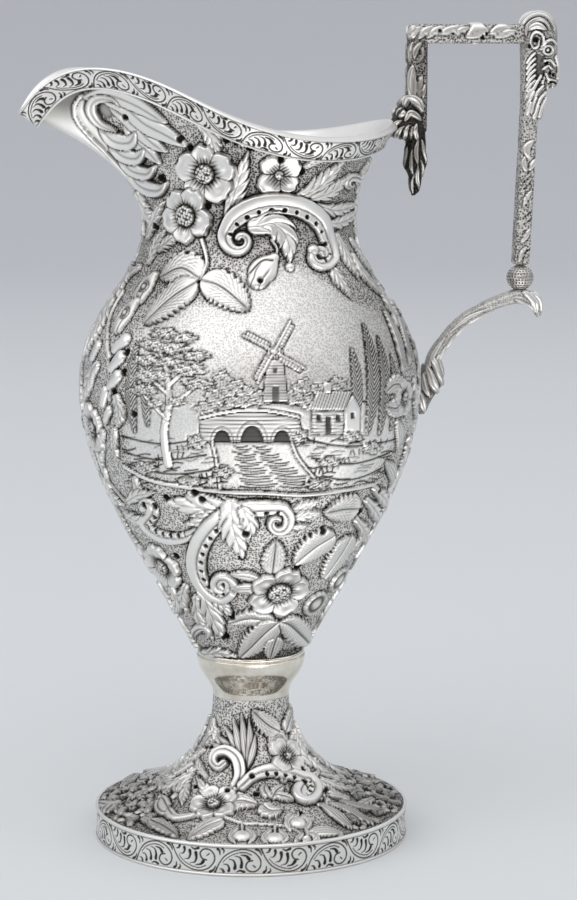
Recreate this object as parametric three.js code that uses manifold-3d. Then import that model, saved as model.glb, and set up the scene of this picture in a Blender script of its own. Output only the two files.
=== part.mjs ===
// A chased silver cream jug: a vase-shaped body with a drawn-out pouring lip, on a trumpet foot, with a
// square branch handle. Millimetres, +Z up. The lip points along -X and the handle along +X. Every piece
// is drawn about the jug's own axis, and the whole is then set with its origin on the table, under the
// middle of its box.
import * as THREE from "three";
import { mergeVertices } from "three/addons/utils/BufferGeometryUtils.js";
import Module from "manifold-3d";

const wasm = await Module();
wasm.setup();

// Sheet silver and solder seams
const WALL = 1.2; // thickness of the raised sheet
const SEAM = 0.3; // gap left at each soldered seam

// Foot: a scroll-bordered band under a trumpet of sheet
const FOOT_RADIUS = 44.5;
const FOOT_BAND_HEIGHT = 7;
const FOOT_BAND_THICKNESS = 1.5;
const FOOT_BEAD = 0.6; // plain edge of the trumpet that stands above the band
const FOOT_RISE = 31.7; // from the band's top to the waist
const WAIST_RADIUS = 10.9;

// Collar: a plain hollow moulding that carries the body, and the wire soldered on top of it
const COLLAR_HEIGHT = 13;
const COLLAR_RADIUS = 15.4;
const SEAT_WIRE = 1.2;

// Body
const BASE_RADIUS = 14.8;
const BELLY_RADIUS = 47;
const BELLY_RISE = 76; // belly above the base
const NECK_RADIUS = 28.9;
const NECK_RISE = 46; // neck above the belly

// Mouth: how far its edge stands from the axis, and how high above the neck
const RIM_SIDE = 34.2;
const RIM_BACK = 40.5;
const LIP_REACH = 64.4;
const LIP_TAPER = 16.3; // the smaller, the narrower the lip seen from above, in degrees
const LIP_POINT = 3.4; // how far round its tip is blunted, in degrees
const RIM_RISE = 23; // lowest part of the edge above the neck
const BACK_RISE = 6; // the edge's rise towards the handle
const LIP_RISE = 20; // the edge's rise towards the lip
const LIP_DIP = 14; // the drop of the lip's tip below its crests
const LIP_DIP_TAPER = 4.1; // how far round the drop begins, in degrees
const FLARE_SIDE = 25; // lean of the wall at the edge, in degrees from upright
const FLARE_BACK = 45;
const FLARE_LIP = 77;
const RIM_BAND_HEIGHT = 6;
const RIM_BAND_THICKNESS = 1.3;

// Handle: a square branch with a ram's head at its outer corner, a ball below, and a leafy scroll arm
const BRANCH = 5.5; // side of the branch's square section
const GRIP = 4.8; // side of the grip's square section
const BRANCH_EDGE = 1.2; // how far its corners are rounded off
const LEG_GAP = 7.6; // from the edge of the mouth to the middle of the leg
const LEG_DROP = 5; // the leg's lower end below the edge of the mouth
const BRANCH_RISE = 22.2; // middle of the top branch above the edge of the mouth
const GRIP_REACH = 33.4; // from the middle of the leg to the middle of the grip
const GRIP_LENGTH = 50.5;
const GRIP_LEAN = 2.4; // how far the grip comes in towards its lower end
const NECK_LENGTH = 14; // ram's neck, from its crown down to the grip
const KNOP_RADIUS = 3.9;
const DOWEL_RADIUS = 0.9;
const DOWEL_GRIP = 4; // how deep the dowel sits in the grip
const ARM_WIDTH = 5.2;
const ARM_THICKNESS = 3.4;
const ARM_DROP = 27.5; // from the ball's seat down to where the arm meets the body
const CURL_REACH = 5; // the arm's free end beyond the grip
const CURL_DROP = 7.5;
const CLASP_RADIUS = 4.6;
const PENDANT_LENGTH = 17;
const PENDANT_WIDTH = 6.4;
const LEAF_SHEET = 1.1; // thickness of the cast leaves
const LEAF_LENGTH = 14;
const LEAF_WIDTH = 8;

// Chasing: how far the raised motifs stand out of the body and the foot, and how deep they are set in the sheet
const BODY_RELIEF = 1.7;
const FOOT_RELIEF = 1.1;
const RELIEF_ROOT = 0.6;
const FACET = 0.03; // slivers finer than this are merged where motifs meet the sheet

const ROUND = 56; // facets round the jug
const FINE = 18; // facets round the small pieces

const SILVER = { color: 0xc9c7c3, roughness: 0.28, metalness: 1 };
const POLISHED = { color: 0xe4e2de, roughness: 0.1, metalness: 1 };
const OXIDISED = { color: 0xa9a7a3, roughness: 0.4, metalness: 1 };

// Heights of the seams, from the table up
const footBase = FOOT_BAND_HEIGHT + SEAM;
const waistZ = footBase + FOOT_RISE;
const collarBase = waistZ + SEAM;
const collarTop = collarBase + COLLAR_HEIGHT;
const wireBase = collarTop + SEAM;
const bodyBase = wireBase + SEAT_WIRE + SEAM;
const bellyZ = bodyBase + BELLY_RISE;
const neckZ = bellyZ + NECK_RISE;
const rimLow = neckZ + RIM_RISE;

const { lerp, degToRad, radToDeg } = THREE.MathUtils;

// A closed body from rings of points, bridged in order, with a fan over each end
function skin(rings) {
  const count = rings[0].length;
  const middle = (ring) => ring.reduce((sum, p) => sum.add(p), new THREE.Vector3()).divideScalar(count);
  const points = [...rings.flat(), middle(rings[0]), middle(rings.at(-1))];
  const first = rings.length * count;
  const index = [];
  for (let k = 0; k < count; k++) {
    const next = (k + 1) % count;
    for (let r = 0; r < rings.length - 1; r++) {
      const a = r * count;
      const b = a + count;
      index.push(a + k, a + next, b + next, a + k, b + next, b + k);
    }
    const last = first - count;
    index.push(first, next, k, first + 1, last + k, last + next);
  }
  return new THREE.BufferGeometry().setFromPoints(points).setIndex(index);
}

// A body turned round the axis from stations, each a function of the angle that gives a point.
// It starts and ends on the axis, or closes on itself.
function turned(stations, facets = ROUND) {
  const flat = stations.map(() => new THREE.Vector2(1, 0));
  const geometry = new THREE.LatheGeometry(flat, facets);
  const position = geometry.getAttribute("position");
  for (let i = 0; i <= facets; i++) {
    const angle = ((i % facets) / facets) * 2 * Math.PI;
    stations.forEach((station, j) => position.setXYZ(i * stations.length + j, ...station(angle)));
  }
  return geometry;
}

// A station at a fixed radius and height
const ring = (radius, z) => (angle) => [radius * Math.cos(angle), radius * Math.sin(angle), z];

// Points along a cubic curve in the plane of radius and height, each moved square to it by an offset
function meridian(corners, steps, offset = 0) {
  const curve = new THREE.CubicBezierCurve(...corners.map(([r, z]) => new THREE.Vector2(r, z)));
  return Array.from({ length: steps + 1 }, (_, i) => {
    const p = curve.getPoint(i / steps);
    const t = curve.getTangent(i / steps);
    return [p.x + t.y * offset, p.y - t.x * offset];
  });
}

const rings = (points) => points.map(([radius, z]) => ring(radius, z));

// A sweep along a curve in a plane of constant Y, or near one. sectionAt gives, for a share of the way,
// the corners of the section as [across, up] pairs.
function sweep(curve, steps, sectionAt) {
  const sideways = new THREE.Vector3(0, 1, 0);
  const made = [];
  for (let i = 0; i <= steps; i++) {
    const u = i / steps;
    const middle = curve.getPointAt(u);
    const along = curve.getTangentAt(u);
    const up = new THREE.Vector3().crossVectors(along, sideways).normalize();
    const across = new THREE.Vector3().crossVectors(up, along);
    made.push(
      sectionAt(u).map(([a, b]) => middle.clone().addScaledVector(across, a).addScaledVector(up, b)),
    );
  }
  return skin(made);
}

const inPlane = (points) => new THREE.CatmullRomCurve3(points.map(([x, z]) => new THREE.Vector3(x, 0, z)));

// A square section with its corners rounded off
function squareSection(side, edge) {
  const half = side / 2;
  const flat = half - edge;
  const corner = edge * Math.SQRT1_2;
  const quarter = [
    [half, flat],
    [flat + corner, flat + corner],
    [flat, half],
  ];
  const turn = ([a, b]) => [-b, a];
  const second = quarter.map(turn);
  const third = second.map(turn);
  return [...quarter, ...second, ...third, ...third.map(turn)];
}

// An oval section with a given width and thickness
const ovalSection = (width, thickness, count) =>
  Array.from({ length: count }, (_, i) => {
    const angle = (i / count) * 2 * Math.PI;
    return [(width / 2) * Math.cos(angle), (thickness / 2) * Math.sin(angle)];
  });

// A leaf's section: a sheet that bows up at its middle by crown
function leafSection(width, crown, thickness, count = 4) {
  const top = Array.from({ length: 2 * count + 1 }, (_, i) => {
    const share = i / count - 1;
    return [(-share * width) / 2, crown * (1 - share * share) + thickness / 2];
  });
  return [...top, ...top.map(([a, b]) => [a, b - thickness]).reverse()];
}

// Joining and cutting closed bodies
function solid(geometry) {
  const bare = geometry.clone();
  bare.deleteAttribute("normal");
  bare.deleteAttribute("uv");
  const merged = mergeVertices(bare, 1e-4);
  return new wasm.Manifold(
    new wasm.Mesh({
      numProp: 3,
      vertProperties: new Float32Array(merged.getAttribute("position").array),
      triVerts: new Uint32Array(merged.index.array),
    }),
  );
}

function geometryOf(made) {
  const { vertProperties, triVerts } = made.getMesh();
  return new THREE.BufferGeometry()
    .setAttribute("position", new THREE.BufferAttribute(vertProperties, 3))
    .setIndex(new THREE.BufferAttribute(triVerts, 1));
}

// Chasing. A sheet is a function that gives its point at an angle from the handle and a way up from its lower
// edge, in millimetres. A motif is drawn flat, as [across, up] pairs, counter-clockwise, and is laid on the
// sheet at a place given as [degrees from the handle, way up]. Each is there on both sides of the jug.
function onSheet(sheet, angle, way, lift) {
  const turn = 1e-3;
  const step = 1e-2;
  const round = sheet(angle + turn, way).sub(sheet(angle - turn, way));
  const rise = sheet(angle, way + step).sub(sheet(angle, way - step));
  return sheet(angle, way).addScaledVector(round.cross(rise).normalize(), lift);
}

function boss(sheet, [degrees, way], outline, height) {
  const { x, y } = sheet(degToRad(degrees), way);
  const radius = Math.hypot(x, y);
  const layers = [
    [0.1, -RELIEF_ROOT],
    [1, -RELIEF_ROOT],
    [0.84, height],
  ];
  return [1, -1].map((side) => {
    const corners = outline.map(([across, up]) => [side * across, up]);
    if (side < 0) corners.reverse();
    return solid(
      skin(
        layers.map(([scale, lift]) =>
          corners.map(([across, up]) => {
            const angle = side * degToRad(degrees) + (scale * across) / radius;
            return onSheet(sheet, angle, way + scale * up, lift);
          }),
        ),
      ),
    );
  });
}

// A scroll along places on a sheet
const SCROLL_STEPS = 12;
function scroll(sheet, places, width, height) {
  return [1, -1].map((side) => {
    const flat = new THREE.SplineCurve(
      places.map(([degrees, way]) => new THREE.Vector2(side * degToRad(degrees), way)),
    );
    const made = [];
    for (let i = 0; i <= SCROLL_STEPS; i++) {
      const u = i / SCROLL_STEPS;
      const at = (t, lift) => onSheet(sheet, ...flat.getPoint(t).toArray(), lift);
      const along = at(Math.min(u + 0.01, 1), 0).sub(at(Math.max(u - 0.01, 0), 0));
      const out = at(u, 1).sub(at(u, 0));
      const across = new THREE.Vector3().crossVectors(out, along).normalize();
      const half = (width / 2) * lerp(0.5, 1, Math.sin(Math.PI * u));
      const corner = (share, lift) => at(u, lift).addScaledVector(across, share * half);
      made.push([corner(-1, -RELIEF_ROOT), corner(1, -RELIEF_ROOT), corner(0.7, height), corner(-0.7, height)]);
    }
    return solid(skin(made));
  });
}

const turnedBy = (degrees, points) =>
  points.map(([a, b]) => {
    const { x, y } = new THREE.Vector2(a, b).rotateAround(new THREE.Vector2(), degToRad(degrees));
    return [x, y];
  });
const PETALS = 5;
const flower = (radius, turn = 0) =>
  turnedBy(
    turn,
    Array.from({ length: 2 * PETALS }, (_, i) => {
      const angle = (i / PETALS) * Math.PI;
      const reach = i % 2 ? 0.7 * radius : radius;
      return [reach * Math.cos(angle), reach * Math.sin(angle)];
    }),
  );
const leaf = (length, width, turn = 0) =>
  turnedBy(
    turn,
    [[-0.5, 0], [-0.1, -0.45], [0.25, -0.38], [0.5, 0], [0.25, 0.38], [-0.1, 0.45]].map(([a, b]) => [
      a * length,
      b * width,
    ]),
  );

const cylinderAlong = (from, to, radius) =>
  sweep(new THREE.LineCurve3(from, to), 1, () => ovalSection(2 * radius, 2 * radius, FINE));

const jug = new THREE.Group();
function piece(name, geometry, look) {
  const mesh = new THREE.Mesh(geometry, new THREE.MeshStandardMaterial(look));
  mesh.name = name;
  jug.add(mesh);
}

// Foot band, trumpet foot, collar and seat wire
piece(
  "foot_band",
  turned(
    rings([
      [FOOT_RADIUS - FOOT_BAND_THICKNESS, 0],
      [FOOT_RADIUS, 0],
      [FOOT_RADIUS, FOOT_BAND_HEIGHT],
      [FOOT_RADIUS - FOOT_BAND_THICKNESS, FOOT_BAND_HEIGHT],
      [FOOT_RADIUS - FOOT_BAND_THICKNESS, 0],
    ]),
  ),
  SILVER,
);

const footEdge = footBase + FOOT_BEAD + WALL;
const footCurve = [
  [FOOT_RADIUS - FOOT_BEAD, footEdge],
  [lerp(FOOT_RADIUS, WAIST_RADIUS, 0.54), footEdge + 0.1 * FOOT_RISE],
  [WAIST_RADIUS + FOOT_BEAD, footEdge + 0.43 * FOOT_RISE],
  [WAIST_RADIUS, waistZ],
];
const FOOT_STEPS = 8;
const footShell = solid(
  turned([
    ...rings([
      [FOOT_RADIUS - FOOT_BAND_THICKNESS, footBase],
      [FOOT_RADIUS - FOOT_BEAD, footBase],
    ]),
    ...rings(meridian(footCurve, FOOT_STEPS)),
    ...rings(meridian(footCurve, FOOT_STEPS, -WALL)).reverse(),
    ring(FOOT_RADIUS - FOOT_BAND_THICKNESS, footBase),
  ]),
);

// Points at a way along curves of radius and height, turned to an angle
const sheetOf = (curvesAt) => (angle, way) => {
  const path = new THREE.CurvePath();
  path.curves.push(...curvesAt(angle));
  const { x, y } = path.getPoint(way / path.getLength());
  return new THREE.Vector3(x * Math.cos(angle), x * Math.sin(angle), y);
};
const flatCurve = (corners) => new THREE.CubicBezierCurve(...corners.map(([r, z]) => new THREE.Vector2(r, z)));

const footLine = flatCurve(footCurve);
const footSheet = sheetOf(() => [footLine]);
const footFlower = (place, radius, turn) => boss(footSheet, place, flower(radius, turn), FOOT_RELIEF);
const footLeaf = (place, length, width, turn) => boss(footSheet, place, leaf(length, width, turn), FOOT_RELIEF);
const footMotifs = [
  footFlower([61, 33], 4.6, 20),
  footFlower([125, 19], 5, 50),
  footFlower([165, 9], 4.2, 0),
  footFlower([20, 22], 4.4, 30),
  footLeaf([110, 37], 9, 4, 100),
  footLeaf([138, 11], 9, 4.5, -20),
  footLeaf([104, 9], 9, 4.5, 10),
  footLeaf([54, 12], 10, 4.5, 130),
  footLeaf([10, 9], 9, 4.5, 10),
  scroll(footSheet, [[112, 27], [97, 29], [80, 28], [64, 24], [60, 18], [70, 16]], 3.6, FOOT_RELIEF),
];
piece("foot", geometryOf(wasm.Manifold.union([footShell, ...footMotifs.flat()]).simplify(FACET)), SILVER);

const collarCurve = [
  [WAIST_RADIUS, collarBase],
  [WAIST_RADIUS, collarBase + 0.45 * COLLAR_HEIGHT],
  [lerp(WAIST_RADIUS, COLLAR_RADIUS, 0.7), collarBase + 0.8 * COLLAR_HEIGHT],
  [COLLAR_RADIUS, collarTop],
];
const COLLAR_STEPS = 4;
const collarInside = meridian(collarCurve, COLLAR_STEPS, -WALL).map(([r, z]) => [r, Math.min(z, collarTop)]);
collarInside[0][1] = collarBase;
collarInside.at(-1)[1] = collarTop;
piece(
  "collar",
  turned([
    ...rings(meridian(collarCurve, COLLAR_STEPS)),
    ...rings(collarInside.reverse()),
    ring(WAIST_RADIUS, collarBase),
  ]),
  POLISHED,
);

const WIRE_SIDES = 6;
const wireLoop = Array.from({ length: WIRE_SIDES + 1 }, (_, i) => {
  const angle = ((i % WIRE_SIDES) / WIRE_SIDES) * 2 * Math.PI;
  const half = SEAT_WIRE / 2;
  return [COLLAR_RADIUS - half + half * Math.cos(angle), wireBase + half + half * Math.sin(angle)];
});
piece("seat_wire", turned(rings(wireLoop)), POLISHED);

// Body: bowl, shoulder and mouth raised from one sheet
const bowlCurve = [
  [BASE_RADIUS, bodyBase],
  [lerp(BASE_RADIUS, BELLY_RADIUS, 0.615), bodyBase + 0.46 * BELLY_RISE],
  [BELLY_RADIUS, bodyBase + 0.71 * BELLY_RISE],
  [BELLY_RADIUS, bellyZ],
];
const shoulderCurve = [
  [BELLY_RADIUS, bellyZ],
  [BELLY_RADIUS, bellyZ + 0.46 * NECK_RISE],
  [NECK_RADIUS, neckZ - 0.35 * NECK_RISE],
  [NECK_RADIUS, neckZ],
];

// How far an angle is turned towards the handle and towards the lip, from 0 to 1
const towardsBack = (angle) => (1 + Math.cos(angle)) / 2;
const towardsLip = (angle) => (1 - Math.cos(angle)) / 2;

// A pointed beak: 1 at the lip's tip, falling off to both sides within a taper
function beak(angle, taper) {
  const away = Math.hypot(radToDeg(Math.PI - angle), LIP_POINT) - LIP_POINT;
  return Math.exp(-away / taper);
}

function rimRadius(angle) {
  const back = (RIM_BACK - RIM_SIDE) * towardsBack(angle) ** 3;
  const lip = (LIP_REACH - RIM_SIDE) * beak(angle, LIP_TAPER);
  return RIM_SIDE + back + lip;
}

function rimHeight(angle) {
  const back = BACK_RISE * towardsBack(angle) ** 6;
  const lip = LIP_RISE * towardsLip(angle) ** 2.8;
  const dip = LIP_DIP * beak(angle, LIP_DIP_TAPER);
  return rimLow + back + lip - dip;
}

function flare(angle) {
  const back = (FLARE_BACK - FLARE_SIDE) * towardsBack(angle) ** 3;
  const lip = (FLARE_LIP - FLARE_SIDE) * beak(angle, LIP_TAPER);
  return degToRad(FLARE_SIDE + back + lip);
}

// The mouth's outer wall at an angle: it leaves the neck upright and leans out to the edge
function mouthCurve(angle) {
  const radius = rimRadius(angle);
  const z = rimHeight(angle);
  const pull = 0.4 * Math.hypot(radius - NECK_RADIUS, z - neckZ);
  return new THREE.CubicBezierCurve(
    new THREE.Vector2(NECK_RADIUS, neckZ),
    new THREE.Vector2(NECK_RADIUS, neckZ + 0.4 * RIM_RISE),
    new THREE.Vector2(radius - pull * Math.sin(flare(angle)), z - pull * Math.cos(flare(angle))),
    new THREE.Vector2(radius, z),
  );
}

function mouthPoint(angle, t) {
  const { x, y } = mouthCurve(angle).getPoint(t);
  return new THREE.Vector3(x * Math.cos(angle), x * Math.sin(angle), y);
}

// A point of the mouth's wall, moved square to the sheet by an offset, outwards where it is positive
function mouthOffset(angle, t, offset) {
  const turn = 1e-3;
  const step = 1e-3;
  const round = mouthPoint(angle + turn, t).sub(mouthPoint(angle - turn, t));
  const rise = mouthPoint(angle, Math.min(t + step, 1)).sub(mouthPoint(angle, Math.max(t - step, 0)));
  return mouthPoint(angle, t).addScaledVector(round.cross(rise).normalize(), offset).toArray();
}

// Where the rim band's lower edge lies, as a share of the way up the mouth's curve
function bandShare(angle) {
  const curve = mouthCurve(angle);
  return curve.getUtoTmapping(0, curve.getLength() - RIM_BAND_HEIGHT);
}

// Rows of the mouth, each a function of the angle: below the band, and on it
const lowerRow = (share) => (angle) => share * bandShare(angle);
const bandRow = (share) => (angle) => lerp(bandShare(angle), 1, share);
const lowerRows = [0.2, 0.4, 0.6, 0.8].map(lowerRow);
const bandRows = [0, 0.5, 1].map(bandRow);
const mouthRows = [...lowerRows, ...bandRows];
const mouthStation = (row, offset) => (angle) => mouthOffset(angle, row(angle), offset);

const BOWL_STEPS = 8;
const SHOULDER_STEPS = 8;

// The outside, or with an offset another layer, of the body from its base to the edge of its mouth
const bodyLayer = (offset) => [
  ...rings(meridian(bowlCurve, BOWL_STEPS, offset)),
  ...rings(meridian(shoulderCurve, SHOULDER_STEPS, offset)).slice(1),
  ...mouthRows.map((row) => mouthStation(row, offset)),
];
const bodyShell = solid(
  turned([
    ring(0, bodyBase),
    ...bodyLayer(0),
    ...bodyLayer(-WALL).slice(1).reverse(),
    ring(0, bodyBase + WALL),
  ]),
);

// The chasing on it: flowers, leaves and two great scrolls round a plain panel on the belly
const bowlLine = flatCurve(bowlCurve);
const shoulderLine = flatCurve(shoulderCurve);
const bodySheet = sheetOf((angle) => [bowlLine, shoulderLine, mouthCurve(angle)]);
const bodyFlower = (place, radius, turn) => boss(bodySheet, place, flower(radius, turn), BODY_RELIEF);
const bodyLeaf = (place, length, width, turn) => boss(bodySheet, place, leaf(length, width, turn), BODY_RELIEF);
const bodyMotifs = [
  // Neck
  bodyFlower([126, 147], 8, 20),
  bodyFlower([139, 135], 7.5, 50),
  bodyFlower([87, 147], 6, 0),
  bodyLeaf([108, 144], 13, 5.5, 75),
  bodyLeaf([57, 148], 14, 6, 130),
  bodyLeaf([30, 117], 14, 5.5, 55),
  bodyLeaf([10, 122], 14, 6, 90),
  bodyLeaf([90, 127], 11, 6, 110),
  scroll(bodySheet, [[107, 130], [111, 136], [99, 139], [86, 140], [73, 138], [61, 134], [57, 128], [64, 125]], 5, BODY_RELIEF),
  // Below the lip
  bodyLeaf([149, 163], 15, 5.5, 155),
  bodyLeaf([156, 154], 15, 5.5, 140),
  // Shoulder
  bodyLeaf([139, 111], 14, 8, -30),
  bodyLeaf([115, 114], 13, 9, 210),
  bodyLeaf([155, 112], 12, 6, -50),
  // Below the panel and beside it
  bodyFlower([172, 74], 7, 10),
  bodyLeaf([155, 92], 14, 6, 80),
  bodyLeaf([163, 57], 13, 6, 60),
  bodyLeaf([20, 90], 14, 6, 100),
  bodyLeaf([10, 68], 12, 6, 80),
  bodyFlower([157, 31], 6.2, 40),
  bodyFlower([85, 24], 8.2, 10),
  bodyLeaf([109, 45], 15, 8, 105),
  bodyLeaf([64, 51], 11, 8, 10),
  bodyLeaf([69, 38], 17, 6.5, 150),
  bodyLeaf([40, 39], 12, 5.5, 70),
  bodyLeaf([104, 10], 13, 7, 60),
  bodyLeaf([66, 9], 10, 6.5, 120),
  bodyLeaf([168, 14], 12, 5.5, 90),
  bodyLeaf([14, 24], 12, 6, 80),
  scroll(bodySheet, [[91, 49], [97, 54], [104, 55], [116, 52], [126, 43], [132, 35], [133, 28], [127, 24], [120, 27]], 5.5, BODY_RELIEF),
];
piece("body", geometryOf(wasm.Manifold.union([bodyShell, ...bodyMotifs.flat()]).simplify(FACET)), SILVER);

// Rim band: a strip soldered round the outside of the edge
const bandInside = SEAM;
const bandOutside = SEAM + RIM_BAND_THICKNESS;
piece(
  "rim_band",
  turned([
    ...bandRows.map((row) => mouthStation(row, bandOutside)),
    ...bandRows.map((row) => mouthStation(row, bandInside)).reverse(),
    mouthStation(bandRows[0], bandOutside),
  ]),
  SILVER,
);

// Handle: every piece lies in the plane of the lip and the handle
const edgeX = rimRadius(0);
const edgeZ = rimHeight(0);
const legX = edgeX + LEG_GAP;
const legBottom = edgeZ - LEG_DROP;
const branchZ = edgeZ + BRANCH_RISE;
const branchUnder = branchZ - BRANCH / 2;
const gripTopX = legX + GRIP_REACH;
const headFoot = branchZ - NECK_LENGTH;
const gripTop = headFoot - SEAM;
const gripBottom = gripTop - GRIP_LENGTH;
const gripFootX = gripTopX - GRIP_LEAN;
const knopZ = gripBottom - SEAM - KNOP_RADIUS;
const armTop = knopZ - KNOP_RADIUS - SEAM;
const branchSection = squareSection(BRANCH, BRANCH_EDGE);
const gripSection = squareSection(GRIP, BRANCH_EDGE);
const flatPoint = (x, z) => new THREE.Vector3(x, 0, z);
const straight = (x0, z0, x1, z1) => new THREE.LineCurve3(flatPoint(x0, z0), flatPoint(x1, z1));

// The leg stands behind the edge of the mouth, the top branch lies on it
piece("leg", sweep(straight(legX, legBottom, legX, branchUnder - SEAM), 1, () => branchSection), OXIDISED);
const branchEnd = gripTopX - BRANCH / 2 - SEAM;
const branchLine = straight(legX - BRANCH / 2, branchZ, branchEnd, branchZ);
piece("top_branch", sweep(branchLine, 1, () => branchSection), SILVER);

// Clasp: a rosette of leaves that hugs the leg on three sides and is soldered to the back of the rim band
const ball = (x, y, z, rx, ry, rz) =>
  solid(new THREE.SphereGeometry(1, FINE, FINE / 2).scale(rx, ry, rz).translate(x, y, z));
const legFace = legX - BRANCH / 2;
const claspZ = edgeZ + 0.3 * CLASP_RADIUS;
const claspX = legFace + 0.3 * CLASP_RADIUS;
const claspLobe = 0.65 * CLASP_RADIUS;
const claspBody = ball(claspX, 0, claspZ, CLASP_RADIUS, 1.1 * CLASP_RADIUS, CLASP_RADIUS).add(
  ball(legFace - claspLobe, 0, claspZ - claspLobe, claspLobe, claspLobe, CLASP_RADIUS),
);
const legSide = BRANCH + 2 * SEAM;
const legSpace = solid(
  new THREE.BoxGeometry(4 * BRANCH, legSide, 8 * BRANCH).translate(legFace - SEAM + 2 * BRANCH, 0, claspZ),
);
const behindLeg = solid(
  new THREE.BoxGeometry(4 * BRANCH, 4 * BRANCH, 8 * BRANCH).translate(legX + 2 * BRANCH, 0, claspZ),
);
const mouthPlug = solid(
  turned([
    ring(0, neckZ),
    ...mouthRows.map((row) => mouthStation(row, bandOutside + SEAM)),
    (angle) => [...mouthOffset(angle, 1, bandOutside + SEAM).slice(0, 2), rimHeight(angle) + CLASP_RADIUS],
    ring(0, rimLow + LIP_RISE + CLASP_RADIUS),
  ]),
);
const claspCut = mouthPlug.add(legSpace).add(behindLeg);
piece("rim_clasp", geometryOf(claspBody.subtract(claspCut)), OXIDISED);

// Pendant leaf, hung from the leg's lower end
const pendantTop = legBottom - SEAM;
const pendantTip = legX - 0.1 * PENDANT_LENGTH;
const leafTaper = (u) => Math.sin(Math.PI * Math.min(1, 0.3 + 0.7 * u)) ** 0.7 + 0.08;
piece(
  "pendant_leaf",
  sweep(straight(legX, pendantTop, pendantTip, pendantTop - PENDANT_LENGTH), 8, (u) => {
    const width = PENDANT_WIDTH * leafTaper(u);
    return leafSection(width, -0.25 * width, lerp(BRANCH / 2, LEAF_SHEET, u));
  }),
  OXIDISED,
);

// Ram's head at the outer corner: neck on the grip, skull, muzzle turned down, and a curled horn each side
const skull = 0.95 * BRANCH;
const skullX = gripTopX + 0.4 * BRANCH;
const skullZ = branchZ + 0.35 * BRANCH;
const neck = solid(sweep(straight(gripTopX, headFoot, gripTopX, skullZ), 4, (u) =>
  squareSection(lerp(GRIP, BRANCH, u), BRANCH_EDGE),
));
const muzzleX = gripTopX + 1.15 * BRANCH;
const muzzleZ = branchZ - 2.45 * BRANCH;
const muzzleLine = inPlane([
  [skullX, skullZ],
  [skullX + 0.6 * BRANCH, branchZ - 0.4 * BRANCH],
  [muzzleX, muzzleZ],
]);
const muzzle = solid(
  sweep(muzzleLine, 6, (u) =>
    ovalSection(BRANCH * lerp(1.3, 0.72, u), BRANCH * lerp(1.2, 0.7, u), FINE / 2),
  ),
);
const HORN_TURN = 1.35; // turns of each horn's spiral
function horn(side) {
  const spiral = Array.from({ length: FINE }, (_, i) => {
    const u = i / (FINE - 1);
    const angle = 0.9 * Math.PI - u * HORN_TURN * 2 * Math.PI;
    const radius = lerp(0.62, 0.2, u) * BRANCH;
    const x = skullX - 0.2 * BRANCH + radius * Math.cos(angle);
    const y = side * lerp(0.62, 1.12, u) * BRANCH;
    return new THREE.Vector3(x, y, skullZ - 0.15 * BRANCH + radius * Math.sin(angle));
  });
  const path = new THREE.CatmullRomCurve3(spiral);
  return solid(sweep(path, FINE, (u) => {
    const thick = BRANCH * lerp(0.5, 0.16, u);
    return ovalSection(thick, thick, FINE / 3);
  }));
}
const corner = solid(
  new THREE.BoxGeometry(BRANCH, 4 * BRANCH, 8 * BRANCH).translate(branchEnd + SEAM - BRANCH / 2, 0, branchZ),
);
const head = neck
  .add(ball(skullX, 0, skullZ, skull, 0.72 * skull, 0.85 * skull))
  .add(muzzle)
  .add(horn(1))
  .add(horn(-1));
piece("ram_head", geometryOf(head.subtract(corner)), SILVER);

// Grip, ball and arm, threaded on one dowel
const dowelTop = gripBottom + DOWEL_GRIP;
const dowelFoot = armTop - 0.6 * ARM_THICKNESS;
const dowel = (clearance) =>
  cylinderAlong(
    flatPoint(gripFootX, dowelFoot - clearance),
    flatPoint(gripFootX, dowelTop + clearance),
    DOWEL_RADIUS + clearance,
  );
const dowelHole = solid(dowel(SEAM));
piece("knop_dowel", dowel(0), OXIDISED);
const gripLine = straight(gripFootX, gripBottom, gripTopX, gripTop);
const gripBar = solid(sweep(gripLine, 1, () => gripSection));
piece("grip", geometryOf(gripBar.subtract(dowelHole)), SILVER);
piece(
  "knop",
  geometryOf(ball(gripFootX, 0, knopZ, KNOP_RADIUS, KNOP_RADIUS, KNOP_RADIUS).subtract(dowelHole)),
  OXIDISED,
);

// Scroll arm: from its free curl, under the ball, and down to the belly
const armFoot = armTop - ARM_DROP;
const half = ARM_THICKNESS / 2;
const span = gripFootX - BELLY_RADIUS;
const armPath = inPlane([
  [gripFootX + CURL_REACH, armTop - CURL_DROP],
  [gripFootX + 0.9 * CURL_REACH, armTop - 0.5 * CURL_DROP],
  [gripFootX, armTop - half],
  [gripFootX - 0.3 * span, armTop - half - 0.05 * ARM_DROP],
  [gripFootX - 0.55 * span, armTop - half - 0.2 * ARM_DROP],
  [gripFootX - 0.78 * span, armTop - half - 0.48 * ARM_DROP],
  [BELLY_RADIUS + 0.09 * span, armFoot + 0.2 * ARM_DROP],
  [BELLY_RADIUS + 0.02 * span, armFoot],
]);
const bellyPlug = solid(
  turned([
    ring(0, bodyBase),
    ...rings(meridian(bowlCurve, BOWL_STEPS, SEAM)),
    ...rings(meridian(shoulderCurve, SHOULDER_STEPS, SEAM)).slice(1),
    ring(0, neckZ),
  ]),
);
const armTaper = (u) => lerp(0.45, 1, Math.min(1, 5 * u)) * lerp(1, 0.85, u);
const armBody = solid(
  sweep(armPath, 30, (u) => ovalSection(ARM_WIDTH * armTaper(u), ARM_THICKNESS * armTaper(u), FINE / 2)),
);
const seat = ball(gripFootX, 0, knopZ, KNOP_RADIUS + SEAM, KNOP_RADIUS + SEAM, KNOP_RADIUS + SEAM);
piece("scroll_arm", geometryOf(armBody.subtract(bellyPlug).subtract(dowelHole).subtract(seat)), SILVER);

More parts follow.
